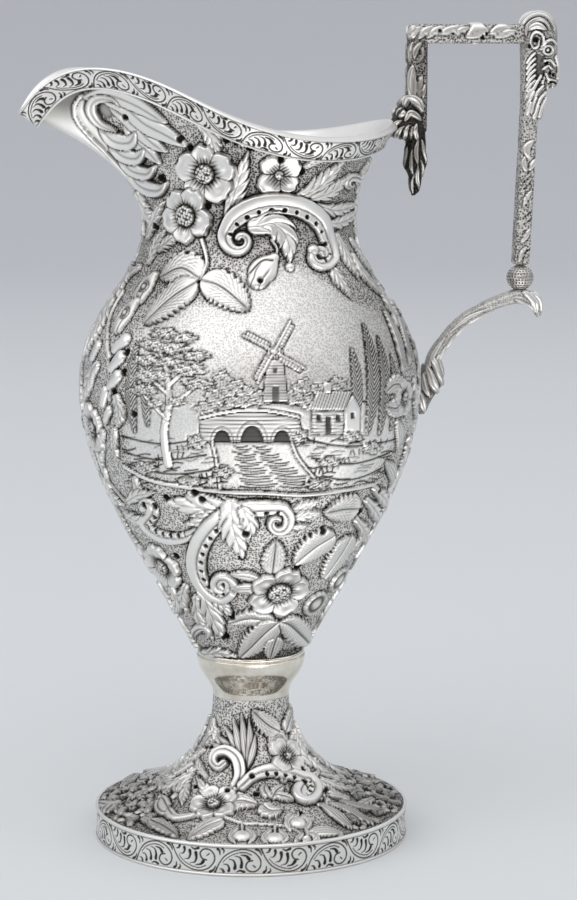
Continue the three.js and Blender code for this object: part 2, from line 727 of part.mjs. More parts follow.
// Leaf that springs from the back of the arm's lower end
const leafRoot = armPath.getPointAt(0.87);
const leafSeat = half + SEAM + LEAF_SHEET;
const armSpace = solid(
  sweep(armPath, 30, (u) =>
    ovalSection(ARM_WIDTH * armTaper(u) + 2 * SEAM, ARM_THICKNESS * armTaper(u) + 2 * SEAM, FINE / 2),
  ),
);
const leafSpread = (u) => Math.sin(Math.PI * Math.min(1, 0.15 + 0.85 * u)) ** 0.8 + 0.1;
const leafX = leafRoot.x + leafSeat;
const backLeaf = solid(
  sweep(
    inPlane([
      [leafX, leafRoot.z + 0.5 * LEAF_LENGTH],
      [leafX, leafRoot.z],
      [leafX + 0.08 * LEAF_LENGTH, leafRoot.z - 0.32 * LEAF_LENGTH],
      [leafX + 0.28 * LEAF_LENGTH, leafRoot.z - 0.5 * LEAF_LENGTH],
    ]),
    10,
    (u) => leafSection(LEAF_WIDTH * leafSpread(u), 0.2 * LEAF_WIDTH * leafSpread(u), LEAF_SHEET),
  ),
);
piece("arm_leaf", geometryOf(backLeaf.subtract(armSpace).subtract(bellyPlug)), SILVER);

// The origin lies on the table under the middle of the box
const box = new THREE.Box3().setFromObject(jug);
jug.position.x = -(box.min.x + box.max.x) / 2;

export default jug;
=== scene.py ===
"""A chased silver cream jug on a trumpet foot, with a branch handle.

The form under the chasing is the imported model's own. Each chased surface is a grid that is bent to that form
and then worked as a chaser works the sheet: motifs are raised from it, outlined with a groove and veined, and
the ground between them is matted. Lengths are in millimetres from the jug's axis and the table until a mesh
is made of them. Places of motifs are pixels of the 577 by 900 photograph, found again on the sheet.
"""
import math

import bpy
import numpy as np
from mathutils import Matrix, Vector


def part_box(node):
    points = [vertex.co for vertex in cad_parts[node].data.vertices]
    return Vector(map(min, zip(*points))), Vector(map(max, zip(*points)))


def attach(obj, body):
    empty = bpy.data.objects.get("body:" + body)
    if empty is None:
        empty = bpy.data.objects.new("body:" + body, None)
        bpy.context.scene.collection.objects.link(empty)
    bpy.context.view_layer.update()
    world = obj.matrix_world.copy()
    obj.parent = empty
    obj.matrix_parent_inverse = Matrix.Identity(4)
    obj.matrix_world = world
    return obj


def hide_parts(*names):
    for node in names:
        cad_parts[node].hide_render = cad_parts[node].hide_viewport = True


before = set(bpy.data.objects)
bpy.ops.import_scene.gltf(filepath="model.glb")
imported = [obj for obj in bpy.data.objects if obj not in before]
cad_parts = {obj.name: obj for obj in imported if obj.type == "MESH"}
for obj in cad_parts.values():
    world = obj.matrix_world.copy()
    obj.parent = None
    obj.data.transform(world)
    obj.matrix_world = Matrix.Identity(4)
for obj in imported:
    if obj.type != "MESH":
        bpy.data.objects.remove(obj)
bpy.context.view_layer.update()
bpy.ops.object.select_all(action="DESELECT")

foot_low, foot_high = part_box("foot_band")
AXIS = np.array([500 * (foot_low.x + foot_high.x), 0.0, 0.0])


def node_box(node):
    """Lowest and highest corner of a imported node, in millimetres from the axis."""
    low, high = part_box(node)
    return 1000 * np.array(low) - AXIS, 1000 * np.array(high) - AXIS


# The plain form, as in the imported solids
WALL = 1.2
FOOT_RADIUS = 44.5
FOOT_BAND_TOP = 7.0
WAIST_RADIUS, WAIST = 10.9, 39.0
COLLAR_RADIUS, COLLAR_TOP = 15.4, 52.3
SEAT_WIRE = 1.2
BASE_RADIUS, BASE = 14.8, 54.1
BELLY_RADIUS, BELLY = 47.0, 130.1
NECK_RADIUS, NECK = 28.9, 176.1
RIM_LOW = 199.1
RIM_SIDE, RIM_BACK, LIP_REACH = 34.2, 40.5, 64.4
BAND_HEIGHT, BAND_PROUD = 6.0, 1.6
GROOVE_DEPTH, GROOVE_WIDTH, GROOVE_FLOOR = 0.34, 0.36, -0.36  # the line that is cut round a motif

FOOT_CURVE = ((43.9, 9.1), (26.36, 12.27), (11.5, 22.73), (WAIST_RADIUS, WAIST))
BOWL_CURVE = ((BASE_RADIUS, BASE), (34.6, 89.06), (BELLY_RADIUS, 108.06), (BELLY_RADIUS, BELLY))
SHOULDER_CURVE = ((BELLY_RADIUS, BELLY), (BELLY_RADIUS, 151.26), (NECK_RADIUS, 160.0), (NECK_RADIUS, NECK))

# The photograph's camera: height, distance from the axis, pitch and turn, and its lens in pixels
EYE_HEIGHT, EYE_DISTANCE, EYE_PITCH, EYE_TURN = 223.0, 755.0, math.radians(8.44), math.radians(-13)
LENS_PX, IMAGE_WIDTH, IMAGE_HEIGHT, AXIS_PX = 2701.0, 577, 900, 250.0
PIXEL = EYE_DISTANCE / LENS_PX
EYE_RIGHT = np.array([math.cos(EYE_TURN), math.sin(EYE_TURN), 0.0])
EYE_LEVEL = np.array([-math.sin(EYE_TURN), math.cos(EYE_TURN), 0.0])
EYE_AHEAD = EYE_LEVEL * math.cos(EYE_PITCH) - np.array([0, 0, math.sin(EYE_PITCH)])
EYE_UP = EYE_LEVEL * math.sin(EYE_PITCH) + np.array([0, 0, math.cos(EYE_PITCH)])
EYE = (
    -EYE_LEVEL * EYE_DISTANCE
    + EYE_RIGHT * (IMAGE_WIDTH / 2 - AXIS_PX) * PIXEL
    + np.array([0, 0, EYE_HEIGHT])
)


def smooth(low, high, x):
    t = np.clip((x - low) / (high - low), 0, 1)
    return t * t * (3 - 2 * t)


def bump(x, width):
    return np.exp(-((x / width) ** 2))


def lines(place, spacing, width):
    """Fine lines at whole numbers of a place, which lie a spacing apart."""
    return bump((place - np.round(place)) * spacing, width)


def unit(v):
    return v / np.maximum(np.linalg.norm(v, axis=-1, keepdims=True), 1e-12)


def dot(a, b):
    """The product of vectors, always summed in the same order, so that each run gives the same digits."""
    return (np.asarray(a) * b).sum(-1)


def bezier(corners, t):
    a, b, c, d = corners
    s = 1 - t
    return a * s**3 + 3 * b * s * s * t + 3 * c * s * t * t + d * t**3


def meridian(curves, spacing):
    """Radius and height of points a spacing apart along curves that follow each other."""
    t = np.linspace(0, 1, 600)
    radius = np.concatenate([bezier([p[0] for p in c], t) for c in curves])
    height = np.concatenate([bezier([p[1] for p in c], t) for c in curves])
    way = np.concatenate([[0], np.cumsum(np.hypot(np.diff(radius), np.diff(height)))])
    even = np.linspace(0, way[-1], int(way[-1] / spacing) + 1)
    return np.interp(even, way, radius), np.interp(even, way, height)


def turned(radius, height, angles):
    """Points of a meridian turned through the angles."""
    cos, sin = np.cos(angles)[None], np.sin(angles)[None]
    radius, height = np.asarray(radius)[:, None], np.asarray(height)[:, None]
    return np.stack([radius * cos, radius * sin, height + 0 * cos], 2)


def facing(points):
    """Outward normals of a half ring, whose first and last columns lie in the plane of lip and handle."""
    normals = np.cross(np.gradient(points, axis=1), np.gradient(points, axis=0))
    normals[:, [0, -1], 1] = 0
    return unit(normals)


def beak(angle, taper):
    """A pointed beak: 1 at the lip's tip, falling off to both sides within a taper in degrees."""
    return np.exp((3.4 - np.hypot(180 + np.degrees(angle), 3.4)) / taper)


def rim(angle):
    """Radius, height and lean of the mouth's edge at an angle from the handle, from -pi to 0."""
    back, lip = (1 + np.cos(angle)) / 2, (1 - np.cos(angle)) / 2
    point = beak(angle, 16.3)
    radius = RIM_SIDE + (RIM_BACK - RIM_SIDE) * back**3 + (LIP_REACH - RIM_SIDE) * point
    height = RIM_LOW - 1 + 4.6 * back**8 + 21 * lip**2.8 - 14 * beak(angle, 4.1)
    return radius, height, np.radians(25 + 20 * back**3 + 52 * point)


def mouth(angle, t):
    """Points of the mouth's wall, a share of the way up from the neck to its edge."""
    radius, height, lean = rim(angle)
    pull = 0.4 * np.hypot(radius - NECK_RADIUS, height - NECK)
    r = bezier((NECK_RADIUS, NECK_RADIUS, radius - pull * np.sin(lean), radius), t)
    z = bezier((NECK, NECK + 9.2, height - pull * np.cos(lean), height), t)
    return np.stack([r * np.cos(angle), r * np.sin(angle), z], -1)


def band_share(angle):
    """Where the rim band's lower edge lies on the mouth's curve, for each angle."""
    t = np.linspace(0, 1, 400)
    line = mouth(angle[:, None], t[None])
    way = np.cumsum(np.linalg.norm(np.diff(line, axis=1), axis=2), axis=1)
    return np.array([np.interp(w[-1] - BAND_HEIGHT, w, t[1:]) for w in way])


class Ground:
    """A sheet to chase: the half of a ring that the photograph shows, mirrored at the end."""

    def __init__(self, points):
        self.shape = points.shape[:2]
        self.points = points.reshape(-1, 3)
        self.normals = facing(points).reshape(-1, 3)
        self.height = np.zeros(len(self.points))
        self.cover = np.zeros(len(self.points))
        self.ink = np.zeros(len(self.points))
        x, y, z = self.points.T
        self.spots = 0.6 + 0.4 * np.sin(0.9 * x + 1.3 * z) * np.sin(1.1 * y - 0.8 * z + 1)
        self.angle = np.degrees(np.arctan2(self.points[:, 1], self.points[:, 0]))
        ray = self.points - EYE
        depth = dot(ray, EYE_AHEAD)
        self.pixel = np.stack([
            IMAGE_WIDTH / 2 + LENS_PX * dot(ray, EYE_RIGHT) / depth,
            IMAGE_HEIGHT / 2 - LENS_PX * dot(ray, EYE_UP) / depth,
        ], 1)
        self.pixel[(self.normals * ray).sum(1) > 0] = 1e6

    def seen(self, *pixels):
        """The points of the sheet under pixels of the photograph."""
        found = []
        for pixel in pixels:
            away = ((self.pixel - pixel) ** 2).sum(1)
            close = np.sort(np.argpartition(away, 8)[:8])
            weight = np.exp(-away[close])[:, None] + 1e-12
            found.append((self.points[close] * weight).sum(0) / weight.sum())
        return np.array(found)

    def spot(self, x, y):
        """The point of the sheet under one pixel of the photograph."""
        return self.seen((x, y))[0]

    def placed(self, *places):
        """The points of the sheet at angles from the handle, in degrees, and heights above the table."""
        found = []
        for angle, height in places:
            away = ((self.angle + angle) * 0.6) ** 2 + (self.points[:, 2] - height) ** 2
            found.append(self.points[np.argmin(away)])
        return np.array(found)

    def raised(self, at, height, edge, ink=0.0, outline=0.32):
        """Raises a motif: edge is the distance inside its outline, below 0 outside, where a groove is cut."""
        old = self.height[at]
        groove = np.maximum(old - GROOVE_DEPTH * bump(edge, GROOVE_WIDTH), GROOVE_FLOOR)
        self.height[at] = np.where(edge > 0, np.maximum(height, 0.35 * old), groove)
        self.cover[at] = np.maximum(self.cover[at], smooth(-0.1, 0.2, edge))
        # The groove along the outline is dark with oxide and painted shade
        groove_ink = np.maximum(self.ink[at], outline * self.spots[at] * bump(edge, 0.28))
        self.ink[at] = np.where(edge > 0, ink, groove_ink)

    def engrave(self, points, width=0.28, depth=0.16, ink=0.8):
        """Cuts a line into whatever is there."""
        at, _, _, away, _ = self.near_path(curve_through(points), 1.2)
        line = bump(away, width)
        self.height[at] -= depth * line
        self.ink[at] = np.maximum(self.ink[at], ink * line)

    def pierce(self, middle, radius=0.9):
        """A dark drilled pit beside a motif."""
        at, x, y = self.near_point(middle, 2.5 * radius)
        pit = smooth(1.5, 0.7, np.hypot(x, y) / radius)
        self.height[at] -= 0.7 * pit
        self.ink[at] = np.maximum(self.ink[at], pit)

    def near_path(self, path, reach):
        """For the points within reach of a path: index, share of the way, offset to its left, distance."""
        low, high = path.min(0) - reach, path.max(0) + reach
        at = np.nonzero(((self.points > low) & (self.points < high)).all(1))[0]
        points, normals = self.points[at], self.normals[at]
        step = np.maximum(np.linalg.norm(np.diff(path, axis=0), axis=1), 1e-9)
        way = np.concatenate([[0], np.cumsum(step)])
        best = np.full(len(at), np.inf)
        share, offset = np.zeros(len(at)), np.zeros(len(at))
        for i in range(len(step)):
            along = (path[i + 1] - path[i]) / step[i]
            gone = points - path[i]
            s = np.clip(dot(gone, along), 0, step[i])
            off = gone - s[:, None] * along
            off -= (off * normals).sum(1)[:, None] * normals
            far = (off**2).sum(1)
            nearer = far < best
            best[nearer] = far[nearer]
            share[nearer] = ((way[i] + s) / way[-1])[nearer]
            offset[nearer] = (np.cross(normals[nearer], along) * off[nearer]).sum(1)
        distance = np.sqrt(best)
        kept = distance < reach
        return at[kept], share[kept], offset[kept], distance[kept], way[-1]

    def near_point(self, middle, reach):
        """For the points within reach of a point: index, and place across and up from it."""
        at = np.nonzero((np.abs(self.points - middle) < reach).all(1))[0]
        normal = self.normals[at[np.argmin(((self.points[at] - middle) ** 2).sum(1))]]
        at = at[dot(self.normals[at], normal) > 0.2]
        across = unit(np.cross((0.0, 0.0, 1.0), normal))
        gone = self.points[at] - middle
        return at, dot(gone, across), dot(gone, np.cross(normal, across))

    def drawn(self, corners):
        """For the points seen near a shape drawn on the photograph: index, distance inside it and pixel."""
        corners = np.asarray(corners, float)
        low, high = corners.min(0) - 6, corners.max(0) + 6
        at = np.nonzero(((self.pixel > low) & (self.pixel < high)).all(1))[0]
        pixel = self.pixel[at]
        away = np.full(len(at), np.inf)
        within = np.zeros(len(at), bool)
        for a, b in zip(corners, np.roll(corners, -1, 0)):
            side = b - a
            gone = pixel - a
            s = np.clip(dot(gone, side) / dot(side, side), 0, 1)
            away = np.minimum(away, np.linalg.norm(gone - s[:, None] * side, axis=1))
            crossed = (a[1] > pixel[:, 1]) != (b[1] > pixel[:, 1])
            rise = side[1] if side[1] else 1e-9
            within ^= crossed & (gone[:, 0] < gone[:, 1] / rise * side[0])
        return at, np.where(within, away, -away) * PIXEL, pixel


def curve_through(points, samples=24):
    """A smooth path through points."""
    points = np.asarray(points, float)
    padded = np.concatenate([[2 * points[0] - points[1]], points, [2 * points[-1] - points[-2]]])
    spans = len(points) - 1
    place = np.linspace(0, spans, samples)
    i = np.minimum(place.astype(int), spans - 1)
    t = (place - i)[:, None]
    p0, p1, p2, p3 = padded[i], padded[i + 1], padded[i + 2], padded[i + 3]
    bend = (2 * p0 - 5 * p1 + 4 * p2 - p3) * t**2 + (3 * p1 - p0 - 3 * p2 + p3) * t**3
    return 0.5 * (2 * p1 + (p2 - p0) * t + bend)


def ways(path):
    """The way along a path to each of its points."""
    return np.concatenate([[0], np.cumsum(np.linalg.norm(np.diff(path, axis=0), axis=1))])


def spiral(x, y, first, last, start, turn, steps=16):
    """Pixels of a spiral about x, y: its first and last radius, the angle it starts at and its turn."""
    share = np.linspace(0, 1, steps)
    angle = np.radians(start + turn * share)
    radius = first + (last - first) * share
    return list(zip(x + radius * np.cos(angle), y + radius * np.sin(angle)))


# The chaser's motifs

def stem(sheet, points, width=1.1, height=0.7, taper=0.4):
    at, share, _, away, _ = sheet.near_path(curve_through(points), width + 1)
    half = width / 2 * (1 - taper * share)
    sheet.raised(at, height * np.sqrt(np.clip(1 - (away / half) ** 2, 0, 1)), half - away)


def leaf(sheet, points, width, height=0.9, teeth=6, veins=4):
    """A broad leaf with a sawn edge. Its veins fan out from the stalk or, with none, leave the midrib."""
    at, share, offset, away, length = sheet.near_path(curve_through(points, 14), width / 2 + 1.2)
    side = np.abs(offset)
    lean = share - 0.45 * side / length
    sawn = 1 - 0.26 * (lean * teeth % 1) * smooth(0.12, 0.4, share)
    half = width / 2 * np.sin(np.pi * np.clip(share, 0, 1) ** 0.8) ** 0.6 * sawn + 0.06
    edge = half - away
    if veins:
        vein = lines(side / half * veins, half / veins, 0.19) * smooth(0.06, 0.3, share)
    else:
        vein = 0.7 * lines(2 * lean * teeth, length / teeth / 2, 0.17) * smooth(0.1, 0.7, side)
    rib = bump(offset, 0.26)
    rise = height * smooth(0, 0.42, edge) * (0.82 + 0.18 * np.sin(np.pi * np.clip(side / half, 0, 1)))
    sheet.raised(at, rise - 0.14 * vein - 0.28 * rib, edge, np.maximum(0.36 * vein, 0.5 * rib))


def acanthus(sheet, points, width, height=1.15, lobes=5, root=0.4):
    """An acanthus leaf: long pointed lobes that sweep forward from the rib, with a cut line between them."""
    at, share, offset, away, length = sheet.near_path(curve_through(points, 22), width / 2 + 1.2)
    side = np.abs(offset)
    sweep = (share - 1.5 * side / length) * lobes + 0.12 * np.sign(offset)
    lobe = sweep % 1
    grow = (root + (1 - root) * smooth(0, 0.35, share)) * (1 - smooth(0.45, 1.04, share)) ** 0.8
    half = width / 2 * grow * (1 - 0.36 * (1 - lobe) ** 1.5 * smooth(0.08, 0.2, share)) + 0.06
    edge = half - away
    gap = np.minimum(lobe, 1 - lobe) * length / lobes * 0.6
    cleft = bump(gap, 0.2) * smooth(0.2, 0.6, side / half) * smooth(0.05, 0.2, share)
    thread = bump((lobe - 0.5) * length / lobes * 0.6, 0.14) * smooth(0.15, 0.5, side / half)
    rib = bump(offset, 0.2) * smooth(0.95, 0.75, share)
    swell = np.sin(np.pi * np.clip(lobe, 0, 1))
    rise = height * smooth(0, 0.45, edge) * (0.78 + 0.22 * swell) * (1 + 0.3 * smooth(0.55, 1, share))
    rise -= 0.32 * cleft + 0.08 * thread + 0.2 * rib
    sheet.raised(at, rise, edge, np.clip(0.45 * cleft + 0.14 * thread + 0.28 * rib, 0, 1))


def blade(sheet, points, width, height=0.9, veins=3, cut=0.18):
    """A long smooth leaf with lines that follow its length."""
    at, share, offset, away, _ = sheet.near_path(curve_through(points, 18), width / 2 + 1.2)
    half = width / 2 * np.sin(np.pi * np.clip(0.07 + 0.93 * share, 0, 1)) ** 0.7 + 0.05
    edge = half - away
    vein = lines(offset / half * veins / 2, 2 * half / veins, cut) * smooth(1, 0.85, share)
    sheet.raised(at, height * smooth(0, 0.42, edge) - 0.15 * vein, edge, 0.38 * vein)


def scroll(sheet, points, width, height=1.6, ends=(0.4, 0.35), holes=0.0, inner=1, samples=64):
    """A hollow scroll: a round outer roll, a line, and a flat inner strip with a row of punched holes."""
    at, share, offset, away, length = sheet.near_path(curve_through(points, samples), width / 2 + 1.4)
    grow = (ends[0] + (1 - ends[0]) * smooth(0, 0.35, share)) * (1 - (1 - ends[1]) * smooth(0.6, 1, share))
    half = width / 2 * grow
    edge = half - away
    across = np.clip(inner * offset / half, -1, 1)
    roll = 0.75 + 0.25 * np.sqrt(np.clip(1 - ((across + 0.42) / 0.6) ** 2, 0, 1))
    strip = 0.68 + 0.14 * smooth(0.6, 0.95, across)
    seam = bump((across - 0.16) * half, 0.2)
    rise = height * np.where(across < 0.16, roll, strip) * smooth(0, 0.5, edge) * (0.7 + 0.3 * grow)
    ink = np.maximum(0.45 * seam, 0.2 * bump(edge, 0.2))
    rise -= 0.22 * seam
    if holes:
        count = max(1, round(length / holes))
        step = share * count
        along = (step - np.round(step)) * length / count
        hole = smooth(0.85, 0.45, np.hypot(along, (across - 0.58) * half))
        hole *= (share > 0.2) & (share < 0.85)
        rise -= 0.8 * hole
        ink = np.maximum(ink, hole)
    sheet.raised(at, rise, edge, ink)


def dabs(x, y, first, second):
    """How far each place is from the nearest of many dabs, about one to each unit square, none in line."""
    near = np.full(len(x), 9.0)
    for i in (-1, 0, 1):
        for j in (-1, 0, 1):
            column, row = np.floor(x) + i, np.floor(y) + j
            u = 0.5 + 0.4 * np.sin(12.9 * column + 78.2 * row + first)
            v = 0.5 + 0.4 * np.sin(39.3 * column + 11.1 * row + second)
            near = np.minimum(near, np.hypot(x - column - u, y - row - v))
    return near


def rose(sheet, middle, radius, height=1.5, petals=5, turn=0.0, heart=0.3, flat=0.0):
    """An open flower: uneven notched petals that rise to their rims, about a heart of seeds."""
    at, x, y = sheet.near_point(middle, radius * 1.1 + 1)
    away = np.hypot(x, y)
    first, second = np.full(len(at), -9.0), np.full(len(at), -9.0)
    aside = np.zeros(len(at))
    for k in range(petals):
        wild = math.sin(7.3 * k + 5 * turn + middle[0])
        reach = radius * (0.46 if petals > 4 else 0.5) * (1 + 0.09 * math.sin(3.1 * k + middle[2]))
        bearing = turn + 2 * np.pi * (k + 0.07 * wild) / petals
        along = (x * np.cos(bearing) + y * np.sin(bearing) - 0.56 * radius) / reach
        across = (y * np.cos(bearing) - x * np.sin(bearing)) / reach
        notch = 0.16 * bump(across - 0.25 * wild, 0.2) + 0.05 * np.sin(9 * across + 5 * wild)
        inside = reach * (1 - np.hypot(along, across * 0.95) - notch * smooth(0.3, 0.9, along))
        second = np.maximum(second, np.minimum(first, inside))
        aside = np.where(inside > first, across, aside)
        first = np.maximum(first, inside)
    share = away / radius
    ball = heart * radius
    fold = bump(first - second, 0.26) * smooth(ball, 1.5 * ball, away)
    ray = lines(aside * 4, 0.8, 0.17) * smooth(0.72, 0.42, share)
    rise = height * smooth(0, 0.7, first) * (0.45 + 0.55 * smooth(0.2, 0.8, share))
    rise -= (0.55 - 0.3 * flat) * bump(first - 0.26 * radius, 0.17 * radius) + 0.3 * fold + 0.12 * ray
    # Painted shade round the heart and in each petal's hollow; the folds between petals are dark with oxide
    # and painted shade, the rays are cut lines
    ink = 0.55 * fold + 0.35 * ray + 0.3 * smooth(0.62, 0.34, share)
    ink += 0.07 * bump(first - 0.24 * radius, 0.15 * radius)
    seed = smooth(0.62, 0.3, dabs(x / 0.85, y / 0.85, *middle[:2]))
    knob = height * (0.45 + 0.3 * np.sqrt(np.clip(1 - (away / ball) ** 2, 0, 1))) + 0.3 * seed
    # The ring round the heart is dark with oxide and painted shade
    ring = bump(away - 1.06 * ball, 0.3)
    rise = np.where(away < ball, knob, rise) - 0.3 * ring
    ink = np.maximum(np.where(away < ball, 0.8 * (1 - seed), ink), 0.6 * ring)
    sheet.raised(at, rise, np.maximum(first, ball - away), ink)


def pearl(sheet, middle, radius, height=None):
    at, x, y = sheet.near_point(middle, radius + 1.2)
    away = np.hypot(x, y)
    top = height or 0.8 * radius
    sheet.raised(at, top * np.sqrt(np.clip(1 - (away / radius) ** 2, 0, 1)), radius - away)


def button(sheet, middle, radius, height=1.0):
    """A round blossom seen from its end: a rim, a sunk ring and a pip."""
    at, x, y = sheet.near_point(middle, radius + 1.2)
    away = np.hypot(x, y)
    ring = bump(away - 0.55 * radius, 0.2 * radius)
    ray = lines(np.arctan2(y, x) * 6 / np.pi, 0.5 * radius, 0.22) * smooth(0.5, 0.8, away / radius)
    rise = height * smooth(0, 0.5, radius - away) - 0.45 * ring - 0.12 * ray
    sheet.raised(at, rise, radius - away, np.maximum(0.6 * ring, 0.35 * ray))


def bell(sheet, points, width, height=1.0):
    """A bell flower or bud: narrow at its stalk, full towards its mouth, with two clefts."""
    at, share, offset, away, _ = sheet.near_path(curve_through(points, 10), width / 2 + 1.2)
    half = width / 2 * (0.3 + 0.7 * np.sin(np.pi * np.clip(0.05 + 0.72 * share, 0, 1)))
    edge = half - away
    cleft = bump(np.abs(offset) - 0.4 * half, 0.2) * smooth(0.35, 0.7, share)
    rise = height * np.sqrt(np.clip(1 - (away / (half + 0.05)) ** 2, 0, 1)) * smooth(0, 0.3, edge) + 0.1
    sheet.raised(at, rise - 0.3 * cleft, edge, 0.55 * cleft)


def spray(sheet, points, width, pairs=4, height=0.85):
    """A stem with pairs of small leaves and a leaf at its end."""
    path = curve_through(points, 4 * pairs + 3)
    stem(sheet, path, 0.9, 0.6)
    for k in range(pairs):
        root = path[4 * k + 1]
        along = path[4 * k + 3] - root
        normal = sheet.normals[np.argmin(((sheet.points - root) ** 2).sum(1))]
        side = unit(np.cross(normal, along)) * width
        for turn in (1, -1):
            leaf(sheet, [root, root + along * 0.9 + turn * side], 0.62 * width, height, 5, 3)
    leaf(sheet, [path[-2], path[-1] + (path[-1] - path[-3])], 0.8 * width, height, 5, 3)


def each(motif, sheet, shapes, *style):
    """Works a motif in one style at many places: each has its width and the pixels that it runs through."""
    for width, *pixels in shapes:
        motif(sheet, sheet.seen(*pixels), width, *style)


def pits(sheet, radius, *pixels):
    """Drilled pits under pixels of the photograph."""
    for middle in sheet.seen(*pixels):
        sheet.pierce(middle, radius)


# The low relief of the landscape

def slab(sheet, corners, height, hatch=None):
    """A flat raised shape, with fine lines a number of pixels apart across a direction in degrees."""
    at, edge, pixel = sheet.drawn(corners)
    ink = 0.0
    if hatch:
        spacing, direction = hatch
        turn = math.radians(direction)
        place = dot(pixel, (math.cos(turn), math.sin(turn))) / spacing
        ink = 0.6 * lines(place, spacing * PIXEL, 0.17)
    sheet.raised(at, height * smooth(0, 0.3, edge) - 0.1 * ink, edge, ink, 0.6)


def hollow(sheet, corners, depth=0.45, ink=0.75):
    """A dark sunk shape: a window, a door or an arch."""
    at, edge, _ = sheet.drawn(corners)
    sunk = smooth(-0.1, 0.25, edge)
    sheet.height[at] -= depth * sunk
    sheet.cover[at] = np.maximum(sheet.cover[at], sunk)
    sheet.ink[at] = np.maximum(sheet.ink[at], ink * sunk)


def windows(sheet, boxes, depth, ink):
    """Windows and doors, each with its upper left corner, width and height in pixels."""
    for x, y, w, h in boxes:
        hollow(sheet, ((x, y), (x + w, y), (x + w, y + h), (x, y + h)), depth, ink)


def foliage(sheet, middle, reach, height=0.55, size=3.6):
    """A clump of leaves far off: loose dabs, dark between them, inside a ragged outline."""
    gone = sheet.pixel - middle
    at = np.nonzero((np.abs(gone) < np.add(reach, 4)).all(1))[0]
    x, y = gone[at].T
    bearing = np.arctan2(y / reach[1], x / reach[0])
    ragged = 0.15 * np.sin(5 * bearing + middle[0]) + 0.1 * np.sin(11 * bearing + middle[1])
    edge = (1 - np.hypot(x / reach[0], y / reach[1]) + ragged) * min(reach) * PIXEL
    dab = smooth(0.68, 0.25, dabs(x / size, 1.3 * y / size, *middle))
    sheet.raised(at, height * (0.4 + 0.6 * dab) * smooth(0, 0.4, edge), edge, 0.65 * (1 - dab), 0.5)


def poplar(sheet, foot, top, width):
    """A tall narrow tree: a flame of slanting dabs."""
    path = sheet.seen(foot, top)
    at, share, offset, away, length = sheet.near_path(path, width)
    half = width / 2 * np.sin(np.pi * np.clip(0.06 + 0.9 * share, 0, 1)) ** 0.6 * (1 - 0.2 * (share * 14 % 1))
    place = share * length / 1.25 - np.abs(offset) / 0.9
    dab = 0.5 - 0.5 * np.cos(2 * np.pi * place)
    sheet.raised(at, 0.45 * (0.35 + 0.65 * dab), half - away, 0.8 * (1 - dab), 0.5)


# Putting the sheets together

def blurred(height, radius, row_step, column_step):
    """A ring's height, blurred over a radius. Its columns close on themselves."""
    rate = np.fft.rfftfreq(height.shape[1])
    spread = radius / column_step[:, None] * rate[None]
    soft = np.fft.rfft(height, axis=1) * np.exp(-2 * (np.pi * spread) ** 2)
    soft = np.fft.irfft(soft, height.shape[1], axis=1)
    reach = int(3 * radius / row_step) + 1
    weight = np.exp(-0.5 * (np.arange(-reach, reach + 1) * row_step / radius) ** 2)
    padded = np.pad(soft, ((reach, reach), (0, 0)), mode="edge")
    return sum(w * padded[i : i + len(height)] for i, w in enumerate(weight / weight.sum()))


def bent_grid(name, points, values):
    """A piece from a grid that is bent to rows of points, with its seams and poles closed."""
    rows, columns = points.shape[:2]
    bpy.ops.object.select_all(action="DESELECT")
    bpy.ops.mesh.primitive_grid_add(x_subdivisions=columns - 1, y_subdivisions=rows - 1, size=1)
    piece = bpy.context.object
    piece.name = piece.data.name = name
    piece.data.vertices.foreach_set("co", ((points + AXIS) * 0.001).astype(np.float32).ravel())
    for key, value in values.items():
        layer = piece.data.attributes.new(key, "FLOAT", "POINT")
        layer.data.foreach_set("value", np.broadcast_to(value, (rows, columns)).astype(np.float32).ravel())
    bpy.ops.object.mode_set(mode="EDIT")
    bpy.ops.mesh.select_all(action="SELECT")
    bpy.ops.mesh.remove_doubles(threshold=2e-6)
    bpy.ops.mesh.normals_make_consistent(inside=False)
    bpy.ops.object.mode_set(mode="OBJECT")
    bpy.ops.object.shade_smooth()
    return piece


def mirrored(half, flip=False):
    """The whole ring from its half: the other side is its mirror image. The last column is the first."""
    other = half[:, -2::-1]
    if flip:
        other = other * np.array([1.0, -1.0, 1.0])
    return np.concatenate([half, other], 1)


# Hollows turn dark with oxide and painted shade: the radius in millimetres that they are measured over, and
# how much
NARROW_HOLLOW, WIDE_HOLLOW = (0.5, 0.75), (1.7, 0.26)


def chased_ring(sheet, row_step):
    """The whole chased ring of a sheet: its points and normals, and how dark and how smooth it is."""
    shape = sheet.shape
    grid = sheet.points.reshape(*shape, 3)
    points, normals = mirrored(grid, True), mirrored(sheet.normals.reshape(*shape, 3), True)
    height, cover, ink = (mirrored(v.reshape(shape)) for v in (sheet.height, sheet.cover, sheet.ink))
    column_step = np.linalg.norm(np.diff(grid, axis=1), axis=2).mean(1)
    open_ring = height[:, :-1]
    # Oxide and painted shade in the hollows: how far each point lies below its blurred surroundings
    hollows = 0
    for radius, gain in (NARROW_HOLLOW, WIDE_HOLLOW):
        sunk = blurred(open_ring, radius, row_step, column_step) - open_ring
        hollows = hollows + np.clip(gain * sunk, 0, 1)
    dark = np.concatenate([hollows, hollows[:, :1]], 1) + ink
    return points + normals * height[..., None], normals, np.clip(dark, 0, 1), cover


